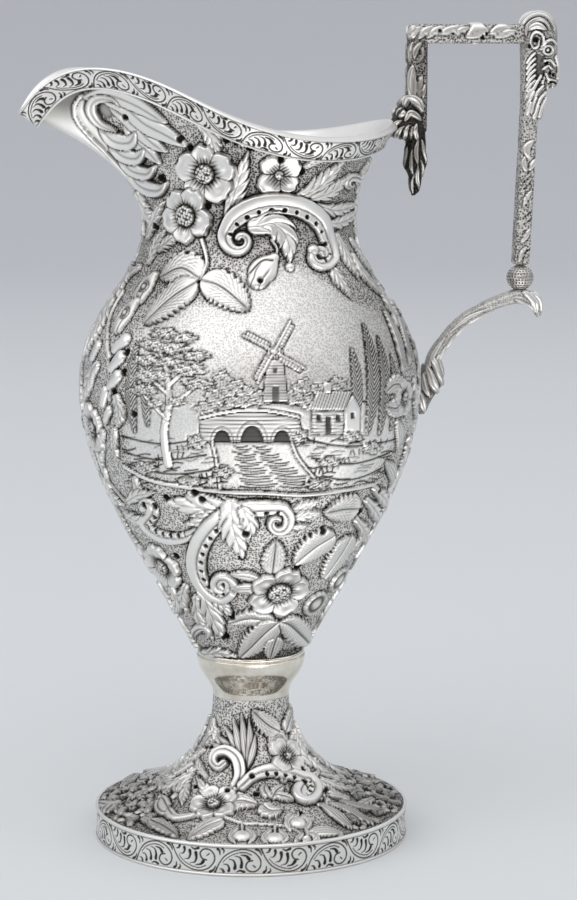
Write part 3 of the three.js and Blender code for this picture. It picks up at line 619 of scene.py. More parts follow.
def chased_shell(names, sheet, row_step, floor=False):
    """Pieces of a chased sheet, one above the other, each a closed ring with the plain inner wall."""
    outside, normals, dark, cover = chased_ring(sheet, row_step)
    grid = sheet.points.reshape(*sheet.shape, 3) - WALL * sheet.normals.reshape(*sheet.shape, 3)
    inside = mirrored(grid, True)
    last = len(outside) - 1
    borders = np.linspace(0, last, len(names) + 1).astype(int)
    pieces = []
    for name, low, high in zip(names, borders, borders[1:]):
        rows = np.arange(max(low - 1, 0), min(high + 1, last) + 1)
        skin = outside[rows].copy()
        if low > 0:
            skin[0] -= normals[rows[0]] * 0.02
        if high < last:
            skin[-1] -= normals[rows[-1]] * 0.02
        wall_rows = np.linspace(rows[-1] - 2, rows[0] + 2, 10).astype(int)
        wall_rows = np.concatenate([rows[:-3:-1], wall_rows, rows[1::-1]])
        stack = [skin, inside[wall_rows]]
        shade = [dark[rows], 0 * dark[wall_rows]]
        smoothness = [cover[rows], 0 * cover[wall_rows] + 1]
        if floor and low == 0:
            pole = np.zeros_like(skin[:1])
            pole[..., 2] = skin[0, 0, 2]
            stack = [pole, *stack, pole + (0, 0, WALL)]
            shade = [0 * dark[:1], *shade, 0 * dark[:1]]
            smoothness = [0 * dark[:1] + 1, *smoothness, 0 * dark[:1] + 1]
        else:
            stack.append(skin[:1])
            shade.append(dark[rows[:1]])
            smoothness.append(cover[rows[:1]])
        # The darkness: oxide, cut lines and painted shade in the hollows
        values = {"tarnish_and_shade": np.concatenate(shade), "polish": np.concatenate(smoothness)}
        pieces.append(bent_grid(name, np.concatenate(stack), values))
    return pieces


def turned_piece(name, profile, columns=256):
    """A plain turned ring from a closed profile of radius and height."""
    radius, height = np.array(profile).T
    return bent_grid(name, turned(radius, height, np.linspace(-np.pi, np.pi, columns + 1)), {})


# Engraved borders: a scroll that arches over and curls in, with lobes in its lap, every second one turned
# over. Each line is drawn in a box one long and one high, with its width in millimetres at both ends.
BORDER_LINES = (
    (((0.0, 0.12), (0.07, 0.4), (0.2, 0.7), (0.4, 0.9), (0.62, 0.96), (0.82, 0.84), (0.95, 0.56),
      (0.95, 0.28), (0.85, 0.1), (0.72, 0.1), (0.64, 0.26), (0.68, 0.46), (0.78, 0.52)), (0.13, 0.17)),
    (((0.14, 0.42), (0.26, 0.64), (0.44, 0.8), (0.62, 0.84), (0.76, 0.74)), (0.09, 0.12)),
    (((0.54, 0.74), (0.65, 0.7), (0.71, 0.58)), (0.12, 0.36)),
    (((0.4, 0.7), (0.51, 0.64), (0.55, 0.46), (0.54, 0.26)), (0.08, 0.34)),
    (((0.28, 0.56), (0.37, 0.52), (0.41, 0.34), (0.4, 0.2)), (0.08, 0.34)),
    (((0.16, 0.36), (0.24, 0.34), (0.28, 0.2), (0.27, 0.1)), (0.08, 0.3)),
    (((0.08, 0.17), (0.13, 0.15), (0.16, 0.05)), (0.1, 0.26)),
    (((0.44, 0.06), (0.51, 0.12), (0.6, 0.07)), (0.12, 0.28)),
    (((0.86, 0.97), (0.93, 0.9), (0.98, 0.74)), (0.28, 0.1)),
    (((0.97, 0.97), (0.99, 0.9), (1.0, 0.8)), (0.22, 0.1)),
    (((0.02, 0.96), (0.07, 0.88), (0.08, 0.72)), (0.28, 0.1)),
    (((0.13, 0.97), (0.17, 0.9), (0.16, 0.8)), (0.22, 0.1)),
    (((0.79, 0.34), (0.84, 0.26)), (0.12, 0.16)),
)


def engraved_border(way, rise, unit_length, low, high):
    """How deep the border's lines are cut at a way along the band and a rise across it, between two lines."""
    place = way / unit_length
    number = np.floor(place)
    x = (place - number) * unit_length
    y = np.where(number % 2 == 0, rise - low, high - rise)
    cut = np.zeros(np.broadcast(x, y).shape)
    for points, (first, last) in BORDER_LINES:
        path = curve_through(points, 6 * len(points)) * (unit_length, high - low)
        width = np.linspace(first, last, len(path))
        for a, b, w in zip(path, path[1:], width):
            side = b - a
            s = np.clip(((x - a[0]) * side[0] + (y - a[1]) * side[1]) / dot(side, side), 0, 1)
            away = np.hypot(x - a[0] - s * side[0], y - a[1] - s * side[1])
            cut = np.maximum(cut, min(1, 0.65 + 1.2 * w) * smooth(1.7, 1.0, away / w))
    return np.maximum(cut, 0.7 * np.maximum(bump(rise - low, 0.13), bump(rise - high, 0.13)))


# The body

BODY_COLUMNS, BODY_STEP = 840, 0.34
turning = np.linspace(0, np.pi, 2001)
crowding = np.cumsum(1 + 0.8 * np.exp(-turning / 0.4))  # columns stand closer towards the drawn-out lip
even_columns = np.linspace(crowding[0], crowding[-1], BODY_COLUMNS // 2 + 1)
half_angles = np.interp(even_columns, crowding, turning) - np.pi
mouth_rows = np.linspace(0, 1, 112)[1:, None] * (1.03 * band_share(half_angles))[None]
body = Ground(np.concatenate([
    turned(*meridian((BOWL_CURVE, SHOULDER_CURVE), BODY_STEP), half_angles),
    mouth(half_angles[None], mouth_rows),
]))


def chase_landscape(sheet):
    """A country view between the flowers: a tree, a bridge over a stream, a windmill and a cottage."""
    see = sheet.seen
    at, edge, pixel = sheet.drawn((
        (150, 300), (205, 300), (250, 262), (300, 262), (345, 290), (395, 320), (402, 400), (398, 440),
        (372, 484), (330, 492), (262, 493), (185, 487), (130, 470), (122, 430), (135, 340),
    ))
    sky = smooth(-0.5, 2.5, edge)
    sheet.cover[at] = np.maximum(sheet.cover[at], sky * np.where(pixel[:, 1] < 405, 0.58, 0.8))

    # Far hills with woods, and the windmill on them
    for points in (
        ((205, 412), (232, 396), (262, 390), (300, 396), (345, 404)),
        ((290, 404), (330, 396), (370, 402), (402, 398)),
        ((215, 416), (250, 404), (290, 404), (330, 412)),
    ):
        sheet.engrave(see(*points), 0.28, 0.16, 0.7)
    for middle, reach in (
        ((216, 398), (11, 8)), ((231, 388), (13, 10)), ((249, 394), (11, 8)), ((304, 388), (12, 9)),
        ((322, 392), (11, 8)), ((240, 402), (16, 6)), ((312, 402), (18, 6)), ((392, 392), (8, 11)),
        ((262, 398), (12, 7)), ((294, 398), (10, 7)), ((338, 386), (10, 9)), ((206, 408), (12, 6)),
        ((222, 380), (9, 9)),
    ):
        foliage(sheet, middle, reach, 0.35, 3.0)
    slab(sheet, ((263, 402), (267, 358), (283, 358), (288, 402)), 0.5, (3.0, 90))
    slab(sheet, ((265, 359), (269, 347), (281, 347), (285, 359)), 0.6, (2.6, 0))
    windows(sheet, ((272, 386, 7, 16), (273, 368, 4, 6)), 0.3, 0.6)
    hub = np.array((274, 352))
    for turn in (28, 118, 208, 298):
        way = np.array((math.cos(math.radians(turn)), math.sin(math.radians(turn))))
        wide = 6 * np.array((-way[1], way[0]))
        root, tip = hub + 7 * way, hub + 33 * way
        slab(sheet, [root, tip, tip + wide, root + wide], 0.5, (3.4, turn))
        stem(sheet, see(hub, hub + 35 * way), 0.7, 0.75, 0)
    pearl(sheet, sheet.spot(*hub), 0.8)

    # Poplars and the cottage
    for foot, top, width in (
        ((356, 424), (352, 350), 3.8), ((368, 432), (364, 326), 5.0), ((380, 432), (378, 338), 4.6),
        ((391, 428), (391, 356), 3.6), ((134, 430), (137, 344), 4.4), ((147, 424), (150, 356), 3.6),
    ):
        poplar(sheet, foot, top, width)
    slab(sheet, ((312, 434), (312, 408), (344, 408), (344, 434)), 0.5, (3.4, 90))
    slab(sheet, ((344, 434), (344, 408), (352, 395), (360, 408), (360, 432)), 0.42)
    slab(sheet, ((306, 410), (318, 391), (352, 391), (344, 410)), 0.62, (2.8, 20))
    slab(sheet, ((324, 393), (324, 382), (331, 382), (331, 393)), 0.66)
    windows(sheet, ((316, 414, 5, 7), (335, 414, 5, 7), (325, 416, 6, 18), (350, 412, 4, 7)), 0.4, 0.65)

    # Bridge and stream
    deck = [(x, 420 - 8 * math.sin(math.pi * (x - 200) / 104)) for x in range(200, 308, 9)]
    slab(sheet, [*deck, (304, 442), (200, 442)], 0.5, (4, 90))
    water = 443
    for middle, radius in ((222, 9), (252, 12), (282, 9)):
        turn = np.linspace(0, np.pi, 9)
        arch = [(middle + radius * math.cos(a), water - 1.5 * radius * math.sin(a)) for a in turn]
        hollow(sheet, arch, 0.5, 0.62)
        stones = [(middle + 1.3 * (x - middle), water + 1.25 * (y - water)) for x, y in arch]
        sheet.engrave(see(*stones), 0.22, 0.12, 0.4)
    stem(sheet, see(*[(x, y - 2) for x, y in deck]), 0.8, 0.65, 0)
    for k in range(16):
        y, sway = 446 + 2.7 * k, 3.0 * math.sin(2.4 * k)
        middle, half = 250 + 2 * k + sway, 16 + 1.4 * k
        for side in (-1, 1):
            ripple = (middle + 3 * side, y), (middle + side * half * 0.6, y + 1.4), (middle + side * half, y)
            sheet.engrave(see(*ripple), 0.2, 0.1, 0.6)
    for side in (-1, 1):
        stem(sheet, see((252 + side * 40, 443), (258 + side * 42, 460), (272 + side * 52, 489)), 0.9, 0.45, 0)

    # Meadows, with tufts along their folds
    for points in (
        ((122, 436), (160, 444), (195, 440)), ((308, 440), (345, 446), (398, 438)),
        ((124, 452), (160, 460), (206, 455)), ((312, 458), (350, 464), (390, 452)),
        ((128, 464), (170, 474), (212, 470)), ((322, 476), (350, 480), (382, 468)),
    ):
        sheet.engrave(see(*points), 0.28, 0.16, 0.7)
    for k in range(110):
        x, y = 128 + 262 * ((k * 0.618) % 1), 438 + 46 * ((k * 0.733) % 1)
        bank = (y - water) * 0.4
        if 206 + bank < x < 296 + 1.4 * bank:
            continue
        blades = (x - 6, y + 0.6), (x, y + 1.6 * math.sin(k)), (x + 7, y - 0.6)
        sheet.engrave(see(*blades), 0.22, 0.12, 0.4 + 0.35 * (k % 2))
    for k in range(46):
        side = k % 2
        x = (130 + 84 * ((k * 0.618) % 1)) if side else (314 + 76 * ((k * 0.618) % 1))
        y = 440 + 38 * ((k * 0.377) % 1)
        sheet.engrave(see((x, y + 3), (x + 2 * math.sin(k), y - 2)), 0.22, 0.12, 0.75)
    for middle, reach in (
        ((300, 436), (8, 7)), ((352, 436), (10, 5)), ((196, 442), (9, 7)), ((330, 462), (11, 5)),
        ((222, 472), (10, 6)), ((372, 448), (9, 6)), ((144, 468), (12, 6)), ((318, 484), (12, 5)),
        ((190, 482), (14, 4)),
    ):
        foliage(sheet, middle, reach, 0.45, 2.8)

    # Spreading tree in tiers
    stem(sheet, see((168, 464), (164, 432), (169, 400), (166, 360)), 2.6, 0.8, 0.5)
    for points in (
        ((166, 418), (152, 404), (142, 392)), ((167, 408), (186, 394), (200, 384)),
        ((168, 394), (150, 378), (140, 366)), ((168, 386), (184, 372), (198, 362)),
        ((167, 372), (160, 352), (156, 340)),
    ):
        stem(sheet, see(*points), 1.1, 0.7, 0.6)
    for middle, reach in (
        ((143, 390), (14, 5)), ((198, 384), (15, 5)), ((150, 376), (18, 6)), ((188, 370), (18, 6)),
        ((166, 362), (16, 5)), ((145, 360), (13, 5)), ((196, 356), (13, 5)), ((170, 348), (19, 6)),
        ((150, 344), (11, 5)), ((184, 338), (12, 5)), ((164, 333), (13, 5)), ((176, 402), (9, 4)),
        ((154, 404), (8, 4)),
    ):
        foliage(sheet, middle, reach, 0.65, 2.8)
    stem(sheet, see(
        (124, 466), (150, 480), (185, 487), (225, 492), (265, 493), (300, 495), (345, 490), (376, 483),
    ), 1.2, 0.6, 0)


def chase_lip(sheet):
    """Below the lip: a plain front, then a volute with acanthus strands that run back along the flank."""
    see = sheet.seen
    at, edge, _ = sheet.drawn((
        (98, 88), (80, 96), (73, 108), (76, 121), (90, 137), (106, 154), (122, 172), (138, 190),
        (100, 200), (20, 140), (14, 112), (40, 84), (80, 72),
    ))
    sheet.cover[at] = np.maximum(sheet.cover[at], smooth(-0.4, 0.4, edge))
    # Painted dark reflection: the plain polished front below the lip, darker towards its top
    sheet.ink[at] = 0.55 * smooth(-0.4, 0.4, edge) * smooth(138, 100, sheet.pixel[at, 1])
    sheet.cover[(sheet.pixel[:, 0] > 1e5) & (sheet.points[:, 2] > 180) & (sheet.angle < -150)] = 1
    at, edge, _ = sheet.drawn((
        (99, 90), (82, 96), (74, 108), (77, 121), (89, 136), (105, 152), (121, 169), (137, 188),
        (146, 184), (130, 165), (112, 143), (99, 127), (93, 112), (102, 96),
    ))
    sheet.cover[at] = np.maximum(sheet.cover[at], smooth(-0.3, 0.3, edge))
    stem(sheet, see(
        (99, 90), (82, 96), (74, 108), (77, 121), (89, 136), (105, 152), (121, 169), (137, 188),
    ), 1.1, 0.6, 0)
    each(blade, sheet, (
        (5.6, (126, 122), (138, 140), (152, 152), (162, 164)),
        (5.8, (112, 106), (132, 120), (150, 138), (168, 152)),
        (6.6, (106, 100), (126, 106), (146, 122), (168, 134), (190, 147)),
        (5.6, (86, 97), (108, 93), (132, 101), (150, 111), (168, 123)),
    ), 1.2, 2, 0.34)
    each(acanthus, sheet, (
        (5.6, (140, 194), (148, 210), (158, 228)), (4.0, (150, 236), (158, 216), (166, 200)),
    ), 1.3, 4, 0.5)
    each(blade, sheet, (
        (5.0, (124, 164), (142, 184), (160, 190), (169, 182)),
        (4.6, (116, 150), (132, 168), (149, 173), (157, 165)),
        (5.0, (108, 137), (122, 153), (138, 157), (147, 148)),
        (5.2, (100, 125), (114, 139), (131, 141), (138, 130)),
    ), 1.3, 2, 0.34)
    blade(sheet, see((116, 130), (100, 123), (91, 110), (96, 99), (112, 98), (122, 106)), 3.4, 1.2, 2, 0.34)
    hollow(sheet, ((95, 105), (101, 102), (108, 106), (113, 115), (109, 120), (100, 115)), 0.5, 0.22)
    pits(sheet, 0.9, (127, 116), (181, 139), (163, 178), (157, 226))


def chase_neck(sheet):
    """Two roses, a flat blossom and a pierced scroll with a hanging leaf and a bud, among leaves."""
    see, spot = sheet.seen, sheet.spot
    each(acanthus, sheet, (
        (5.4, (200, 124), (212, 138), (216, 164)), (4.6, (226, 132), (238, 136), (252, 148)),
        (6.2, (228, 216), (236, 190), (249, 150)), (4.4, (232, 212), (242, 206), (254, 210)),
        (4.6, (150, 262), (158, 244), (168, 228)), (4.4, (160, 250), (172, 240), (182, 232)),
        (6.6, (298, 198), (318, 186), (333, 170), (344, 158)),
        (5.0, (312, 198), (332, 190), (350, 172)), (4.0, (306, 166), (316, 160), (328, 158)),
        (4.0, (318, 206), (336, 210), (354, 202)), (4.0, (326, 224), (340, 222), (356, 210)),
        (5.4, (336, 236), (344, 254), (358, 280)), (5.0, (328, 262), (338, 280), (352, 300)),
        (5.4, (352, 256), (362, 274), (386, 302)), (4.4, (350, 240), (356, 250), (372, 276)),
        (5.0, (356, 190), (360, 174), (368, 160)),
    ), 1.0)
    each(blade, sheet, (
        (4.4, (384, 312), (396, 338), (402, 374)), (3.6, (392, 306), (403, 336), (409, 366)),
        (4.0, (396, 420), (399, 436), (396, 452)), (4.0, (386, 462), (392, 474), (388, 488)),
    ), 0.9, 4)
    each(leaf, sheet, (
        (6.0, (404, 388), (394, 384), (384, 392)), (6.0, (404, 404), (394, 408), (384, 406)),
    ), 0.9, 7, 3)
    rose(sheet, spot(404, 398), 5.6, 1.0, 5, 0.4)
    scroll(sheet, see(*spiral(352, 184, 2, 9, 40, 330)), 2.6, 1.0)
    rose(sheet, spot(279, 175), 6.3, 1.0, 4, 0.75, 0.2, 1)
    scroll(sheet, see(
        *spiral(240, 240, 3, 16, -130, 350), (236, 217), (256, 206), (280, 203), (303, 208), (320, 222),
        (327, 243), *spiral(319, 256, 12, 4, 0, 330),
    ), 6.0, 1.9, (0.34, 0.45), 3.9, -1, 90)
    pearl(sheet, spot(313, 250), 1.7)
    acanthus(sheet, see((256, 226), (274, 224), (286, 240), (290, 266)), 8.2, 1.35, 4, 0.6)
    pearl(sheet, spot(290, 267), 1.3)
    pits(sheet, 0.8, (276, 246))
    stem(sheet, see((272, 240), (277, 250), (274, 264)), 0.9)
    bell(sheet, see((274, 258), (262, 272), (258, 280)), 7.4, 1.25)
    sheet.engrave(see((250, 274), (262, 262), (272, 262)), 0.3, 0.25)
    pits(sheet, 0.7, (260, 282))
    stem(sheet, see((202, 240), (207, 262), (201, 279)), 1.2, 0.8, 0.2)
    rose(sheet, spot(205, 174), 8.6, 1.7, 5, 0.35)
    rose(sheet, spot(186, 216), 8.0, 1.7, 5, 0.95, 0.36)
    pits(
        sheet, 0.8,
        (236, 142), (226, 140), (250, 148), (190, 148), (160, 178), (208, 206), (281, 160), (302, 172),
    )
    each(leaf, sheet, (
        (11.6, (200, 279), (182, 269), (161, 279)), (10.6, (198, 283), (174, 298), (145, 325)),
        (11.0, (202, 281), (222, 288), (249, 311)),
    ), 1.1, 9, 5)


def chase_left(sheet):
    """Down the side below the lip: bell flowers, a stem of petals, a rose and leaves along the front."""
    see, spot = sheet.seen, sheet.spot
    each(acanthus, sheet, (
        (4.4, (140, 268), (128, 278), (118, 300)), (5.0, (112, 300), (104, 322), (96, 344)),
        (5.4, (98, 318), (92, 334), (86, 356)), (5.6, (98, 366), (90, 384), (86, 404)),
        (5.2, (118, 398), (121, 412), (119, 428)), (4.4, (104, 432), (102, 452), (106, 470)),
        (4.0, (116, 430), (116, 446), (120, 458)), (5.0, (106, 470), (112, 490), (126, 506)),
        (5.4, (110, 500), (118, 516), (132, 532)), (4.6, (120, 520), (130, 534), (144, 548)),
    ), 1.15, 4, 0.5)
    each(stem, sheet, (
        (1.2, (124, 292), (112, 314), (108, 342)), (1.2, (108, 342), (112, 372), (110, 400)),
        (1.2, (96, 440), (104, 470), (126, 500)),
    ))
    for points in (((156, 276), (146, 288), (141, 298)), ((138, 302), (127, 314), (120, 326))):
        bell(sheet, see(*points), 6.6, 1.2)
        button(sheet, spot(*points[1]), 1.9, 1.3)
    each(stem, sheet, (
        (4.0, (126, 340), (116, 349)), (4.0, (121, 357), (112, 368)), (3.6, (118, 376), (111, 386)),
        (3.2, (106, 391), (104, 404)), (3.4, (99, 346), (94, 358)), (2.6, (110, 410), (107, 420)),
    ), 1.2, 0.25)
    pits(sheet, 0.9, (127, 352), (124, 372), (114, 392), (134, 414), (112, 360))
    rose(sheet, spot(94, 428), 7.4, 1.5, 5, 0.5)


def chase_belly(sheet):
    """Below the landscape: a great pierced scroll, a wild rose with its leaves, and fronds to both sides."""
    see, spot = sheet.seen, sheet.spot
    # Painted shade: the bowl darker at its lowest edge, just above the collar
    sheet.ink += 0.4 * smooth(57.2, 55.4, sheet.points[:, 2])
    each(acanthus, sheet, (
        (3.6, (190, 494), (204, 500), (222, 503)), (5.0, (288, 512), (304, 506), (320, 498)),
        (4.4, (290, 518), (306, 514), (322, 510)), (3.2, (290, 526), (300, 526), (310, 524)),
        (4.6, (374, 488), (384, 504), (388, 520)), (4.4, (366, 500), (376, 516), (382, 530)),
        (4.4, (356, 520), (364, 534), (366, 550)), (4.2, (350, 548), (358, 540), (366, 528)),
        (4.2, (352, 586), (344, 600), (330, 620)), (4.0, (326, 622), (316, 634), (308, 646)),
        (5.2, (172, 586), (178, 600), (176, 614)), (4.6, (186, 586), (184, 600), (190, 612)),
        (4.0, (158, 584), (166, 600), (176, 616)), (4.0, (180, 618), (190, 634), (200, 648)),
        (3.6, (204, 596), (216, 604), (232, 612)), (4.6, (206, 600), (216, 622), (227, 642)),
        (3.4, (200, 606), (204, 620), (214, 640)), (4.0, (205, 652), (222, 652), (240, 656)),
        (4.0, (136, 478), (140, 490), (150, 496)), (4.4, (130, 500), (140, 494), (156, 492)),
        (4.6, (128, 514), (140, 520), (154, 530)),
    ), 1.1, 4, 0.5)
    scroll(sheet, see(
        *spiral(146, 508, 2, 9, 90, 330), (146, 524), (158, 534), (174, 538), (188, 536), (202, 528),
    ), 4.4, 1.3, (0.5, 0.6), 2.8, 1)
    rose(sheet, spot(163, 566), 7.6, 1.6, 5, 0.2)
    each(acanthus, sheet, (
        (9.4, (246, 510), (206, 507), (164, 499)), (6.4, (238, 512), (212, 518), (184, 523)),
        (7.0, (204, 591), (212, 612), (226, 641)), (4.6, (208, 593), (222, 603), (234, 617)),
        (4.0, (197, 597), (200, 616), (214, 640)),
    ), 1.2, 4, 0.6)
    each(leaf, sheet, (
        (11.4, (334, 533), (314, 546), (293, 563)), (11.0, (350, 534), (339, 553), (321, 578)),
    ), 1.2, 10, 0)
    leaf(sheet, see((357, 507), (342, 508), (323, 512)), 10.0, 1.2, 9, 5)
    scroll(sheet, see(
        *spiral(277, 521, 3, 14, 285, -372), (248, 508), (222, 517), (206, 533), (198, 550), (197, 566),
        (202, 581), (211, 591), *spiral(222, 584, 12, 4, 95, -330),
    ), 5.8, 1.9, (0.4, 0.6), 3.4, 1, 90)
    acanthus(sheet, see((232, 508), (234, 528), (244, 558)), 9.0, 1.4, 4, 0.7)
    acanthus(sheet, see((244, 510), (250, 524), (247, 540)), 5.4, 1.3, 3, 0.7)
    pits(sheet, 0.9, (246, 532))
    pits(sheet, 0.8, (242, 558))
    for middle in see((315, 603), (338, 579)):
        button(sheet, middle, 4.3)
    leaf(sheet, see((272, 572), (274, 556), (276, 539)), 7.6, 1.1, 7, 4)
    blade(sheet, see((260, 578), (246, 575), (230, 573)), 3.4, 1.0)
    blade(sheet, see((260, 586), (246, 588), (230, 587)), 3.8, 1.0, 4)
    leaf(sheet, see((274, 620), (250, 617), (228, 622)), 6.4, 1.1, 9, 0)
    leaf(sheet, see((278, 620), (262, 634), (240, 656)), 9.4, 1.2, 11, 0)
    leaf(sheet, see((280, 620), (292, 626), (306, 642)), 8.4, 1.15, 10, 0)
    leaf(sheet, see((276, 636), (272, 648), (270, 661)), 6.2, 1.0, 7, 3)
    scroll(sheet, see(*spiral(204, 634, 2, 10, 120, -330)), 2.8, 1.1)
    rose(sheet, spot(279, 592), 8.8, 1.8, 5, 0.1, 0.36)
    pits(
        sheet, 0.9,
        (166, 498), (195, 492), (203, 498), (232, 616), (226, 636), (298, 566),
        (360, 512), (297, 648), (378, 489), (176, 556), (146, 504), (322, 530),
    )


def chase_back(sheet):
    """The strip under the handle, which the photograph hides: a spray of leaves with blossoms."""
    at = sheet.placed
    spray(sheet, at((11, 66), (14, 86), (8, 108)), 4.6, 4)
    spray(sheet, at((4, 154), (10, 166), (6, 180)), 4.2, 3)
    for angle, height, radius in ((9, 117, 5.4), (17, 150, 4.8), (12, 190, 4.2)):
        rose(sheet, at((angle, height))[0], radius, 1.3, 5, 0.4)
    for width, *places in (
        (5.0, (18, 96), (15, 106), (20, 114)), (4.0, (2, 122), (3, 114), (1, 106)),
        (5.2, (20, 126), (16, 134), (17, 144)), (4.6, (8, 138), (7, 146), (9, 154)),
        (4.4, (2, 96), (4, 86), (1, 76)), (4.6, (20, 60), (26, 66), (24, 76)),
        (5.4, (30, 101), (26, 108), (30, 119)), (4.8, (29, 132), (26, 126), (21, 120)),
        (4.6, (26, 82), (22, 90), (25, 99)), (4.4, (9, 126), (12, 132), (11, 140)),
        (4.4, (22, 168), (18, 174), (20, 184)), (4.6, (30, 148), (26, 156), (22, 160)),
    ):
        acanthus(sheet, at(*places), width, 1.0, 4, 0.5)


def paint_shade_patches(sheet):
    """Painted shade: on the neck's ground, below the lip, on the meadow and in the far sky."""
    x, y = sheet.pixel.T
    sheet.ink += 0.18 * (1 - sheet.cover) * smooth(164, 176, sheet.points[:, 2]) * smooth(175, 215, x)
    sheet.ink += 0.16 * smooth(195, 165, x) * smooth(215, 245, y) * smooth(345, 290, y)
    sheet.ink += 0.15 * smooth(315, 370, x) * smooth(255, 285, y) * smooth(385, 345, y)
    sheet.ink += 0.17 * smooth(185, 225, x) * smooth(350, 305, x) * smooth(395, 450, y) * smooth(500, 488, y)


for chase in (chase_landscape, chase_lip, chase_left, chase_belly, chase_neck, chase_back, paint_shade_patches):
    chase(body)
body_pieces = chased_shell(
    ["body_base", "body_lower", "body_belly", "body_shoulder", "body_neck"], body, BODY_STEP, True,
)


# The foot

FOOT_COLUMNS, FOOT_STEP = 800, 0.3
foot_angles = np.linspace(-np.pi, 0, FOOT_COLUMNS // 2 + 1)
STEM_CURVE = ((WAIST_RADIUS, WAIST), (10.9, 39.8), (10.8, 40.6), (10.8, 41.4))
foot = Ground(turned(*meridian((FOOT_CURVE, STEM_CURVE), FOOT_STEP), foot_angles))


def chase_foot(sheet):
    """A fan of fronds up the stem, and blossoms, buds, leaves and scrolls crowded over the plate."""
    see, spot, at = sheet.seen, sheet.spot, sheet.placed
    sheet.ink += 0.06 * smooth(24, 15, sheet.points[:, 2])

    # Both sides, where the photograph shows no more than a crowd of leaves and blossoms
    for ring, (height, step, size) in enumerate((
        (9.75, 9, 3.2), (10.7, 11, 3.4), (12.2, 13, 3.5), (14.8, 17, 3.6), (19.0, 22, 3.8),
        (26.0, 30, 4.2),
    )):
        for k, angle in enumerate(range(2 + 5 * (ring % 2), 181, step)):
            if 56 + 4 * ring < angle < 152 - 2 * ring:
                continue
            lift = (0.35, 0.5, 0.8, 1.6, 2.6, 4.2)[ring]
            if (k + ring) % 3 == 0 and ring < 4:
                rose(sheet, at((angle, height))[0], size, 1.1, 5, k)
            elif (k + ring) % 3 == 1:
                leaf(sheet, at(
                    (angle - 0.4 * step, height), (angle, height + lift), (angle + 0.45 * step, height),
                ), 1.3 * size, 1.0, 6, 3)
            else:
                acanthus(sheet, at(
                    (angle, height - lift), (angle + 0.2 * step, height), (angle, height + 1.4 * lift),
                ), 1.3 * size, 1.0, 4, 0.5)

    # The side to the camera
    each(acanthus, sheet, (
        (2.8, (214, 720), (216, 736), (224, 748)), (3.2, (290, 706), (287, 720), (292, 734)),
        (3.4, (294, 730), (299, 744), (308, 756)), (3.6, (308, 758), (318, 768), (332, 776)),
        (3.6, (324, 762), (338, 772), (352, 778)), (3.8, (322, 780), (342, 788), (360, 790)),
        (3.2, (204, 750), (194, 758), (184, 764)), (3.4, (192, 764), (180, 772), (168, 776)),
        (4.0, (186, 776), (170, 786), (156, 792)), (3.2, (166, 768), (152, 774), (142, 780)),
        (3.6, (150, 782), (136, 790), (124, 796)), (4.4, (144, 820), (156, 826), (170, 834)),
        (4.2, (222, 804), (206, 790), (196, 776)), (3.8, (372, 800), (360, 806), (346, 808)),
        (3.6, (188, 786), (184, 796), (182, 806)), (3.0, (206, 776), (200, 768), (198, 756)),
        (2.6, (318, 772), (310, 780), (306, 788)),
    ), 0.9, 4, 0.5)
    leaf(sheet, see((278, 732), (266, 724), (252, 710)), 6.6, 1.0, 8, 4)
    leaf(sheet, see((284, 732), (288, 720), (292, 706)), 4.6, 1.0, 7, 3)
    each(blade, sheet, (
        (2.2, (240, 766), (226, 752), (210, 742)), (2.2, (241, 766), (230, 748), (217, 734)),
        (2.4, (242, 766), (235, 744), (225, 726)), (2.4, (244, 767), (239, 742), (233, 717)),
        (2.4, (246, 767), (245, 742), (241, 713)), (2.2, (247, 767), (250, 744), (249, 718)),
        (2.0, (248, 768), (253, 750), (255, 734)), (4.0, (322, 806), (336, 816), (352, 830)),
        (3.6, (330, 804), (350, 812), (374, 826)), (3.2, (340, 802), (362, 808), (386, 812)),
        (5.0, (308, 834), (326, 833), (344, 838)),
    ), 1.0, 4)
    scroll(sheet, see(
        *spiral(166, 809, 2, 8, 0, 250), (172, 817), (186, 818), (202, 813),
    ), 3.8, 1.3, (0.6, 0.6))
    scroll(sheet, see(
        (225, 764), (219, 768), (214, 762), (217, 754), (227, 751), (237, 759), (240, 774), (236, 786),
        (228, 793),
    ), 3.8, 1.8, (0.6, 0.8))
    scroll(sheet, see(
        (242, 787), (254, 776), (272, 771), (292, 775), *spiral(304, 792, 13, 5, -100, 300),
    ), 4.6, 1.8, (0.7, 1.0), 2.8, -1, 60)
    rose(sheet, spot(287, 756), 6.0, 1.1, 4, 0.6, 0.2, 1)
    each(leaf, sheet, (
        (7.4, (222, 808), (240, 802), (258, 806)), (7.0, (224, 822), (208, 828), (188, 842)),
        (6.4, (262, 806), (270, 812), (282, 812)), (6.6, (284, 820), (296, 822), (308, 828)),
        (4.4, (272, 800), (276, 792), (284, 786)), (3.6, (268, 798), (264, 790), (266, 784)),
        (5.6, (150, 822), (164, 828), (178, 838)), (3.8, (276, 796), (286, 798), (294, 802)),
    ), 1.1, 6, 3)
    rose(sheet, spot(214, 804), 7.0, 1.5, 5, 0.8, 0.26)
    stem(sheet, see((226, 818), (244, 824), (266, 825), (290, 828), (306, 838)), 0.9)
    for x, y, radius in ((242, 837, 3.0), (275, 839, 3.0), (298, 824, 2.8), (307, 843, 1.6)):
        stem(sheet, see((x, y - 12), (x, y - 6)), 0.8)
        for side in (-1, 1):
            sepal = (x + 4 * side, y - 9), (x + 11 * side, y - 1), (x + 7 * side, y + 8)
            blade(sheet, see(*sepal), 1.8, 0.8, 1)
        pearl(sheet, spot(x, y), 0.8 * radius, 1.6)
    rose(sheet, spot(133, 810), 4.6, 1.2, 5, 0.3)
    bell(sheet, see((118, 800), (112, 806), (106, 812)), 5.0, 1.1)
    pits(
        sheet, 0.7, (252, 778), (196, 786), (228, 792), (326, 790), (160, 800), (300, 812), (256, 794),
        (212, 748), (302, 770),
    )
    # Painted shade: the foot darker towards its sides as the camera sees them, and all round its back
    sheet.ink += 0.25 * smooth(55, 105, np.abs(sheet.pixel[:, 0] - 255))


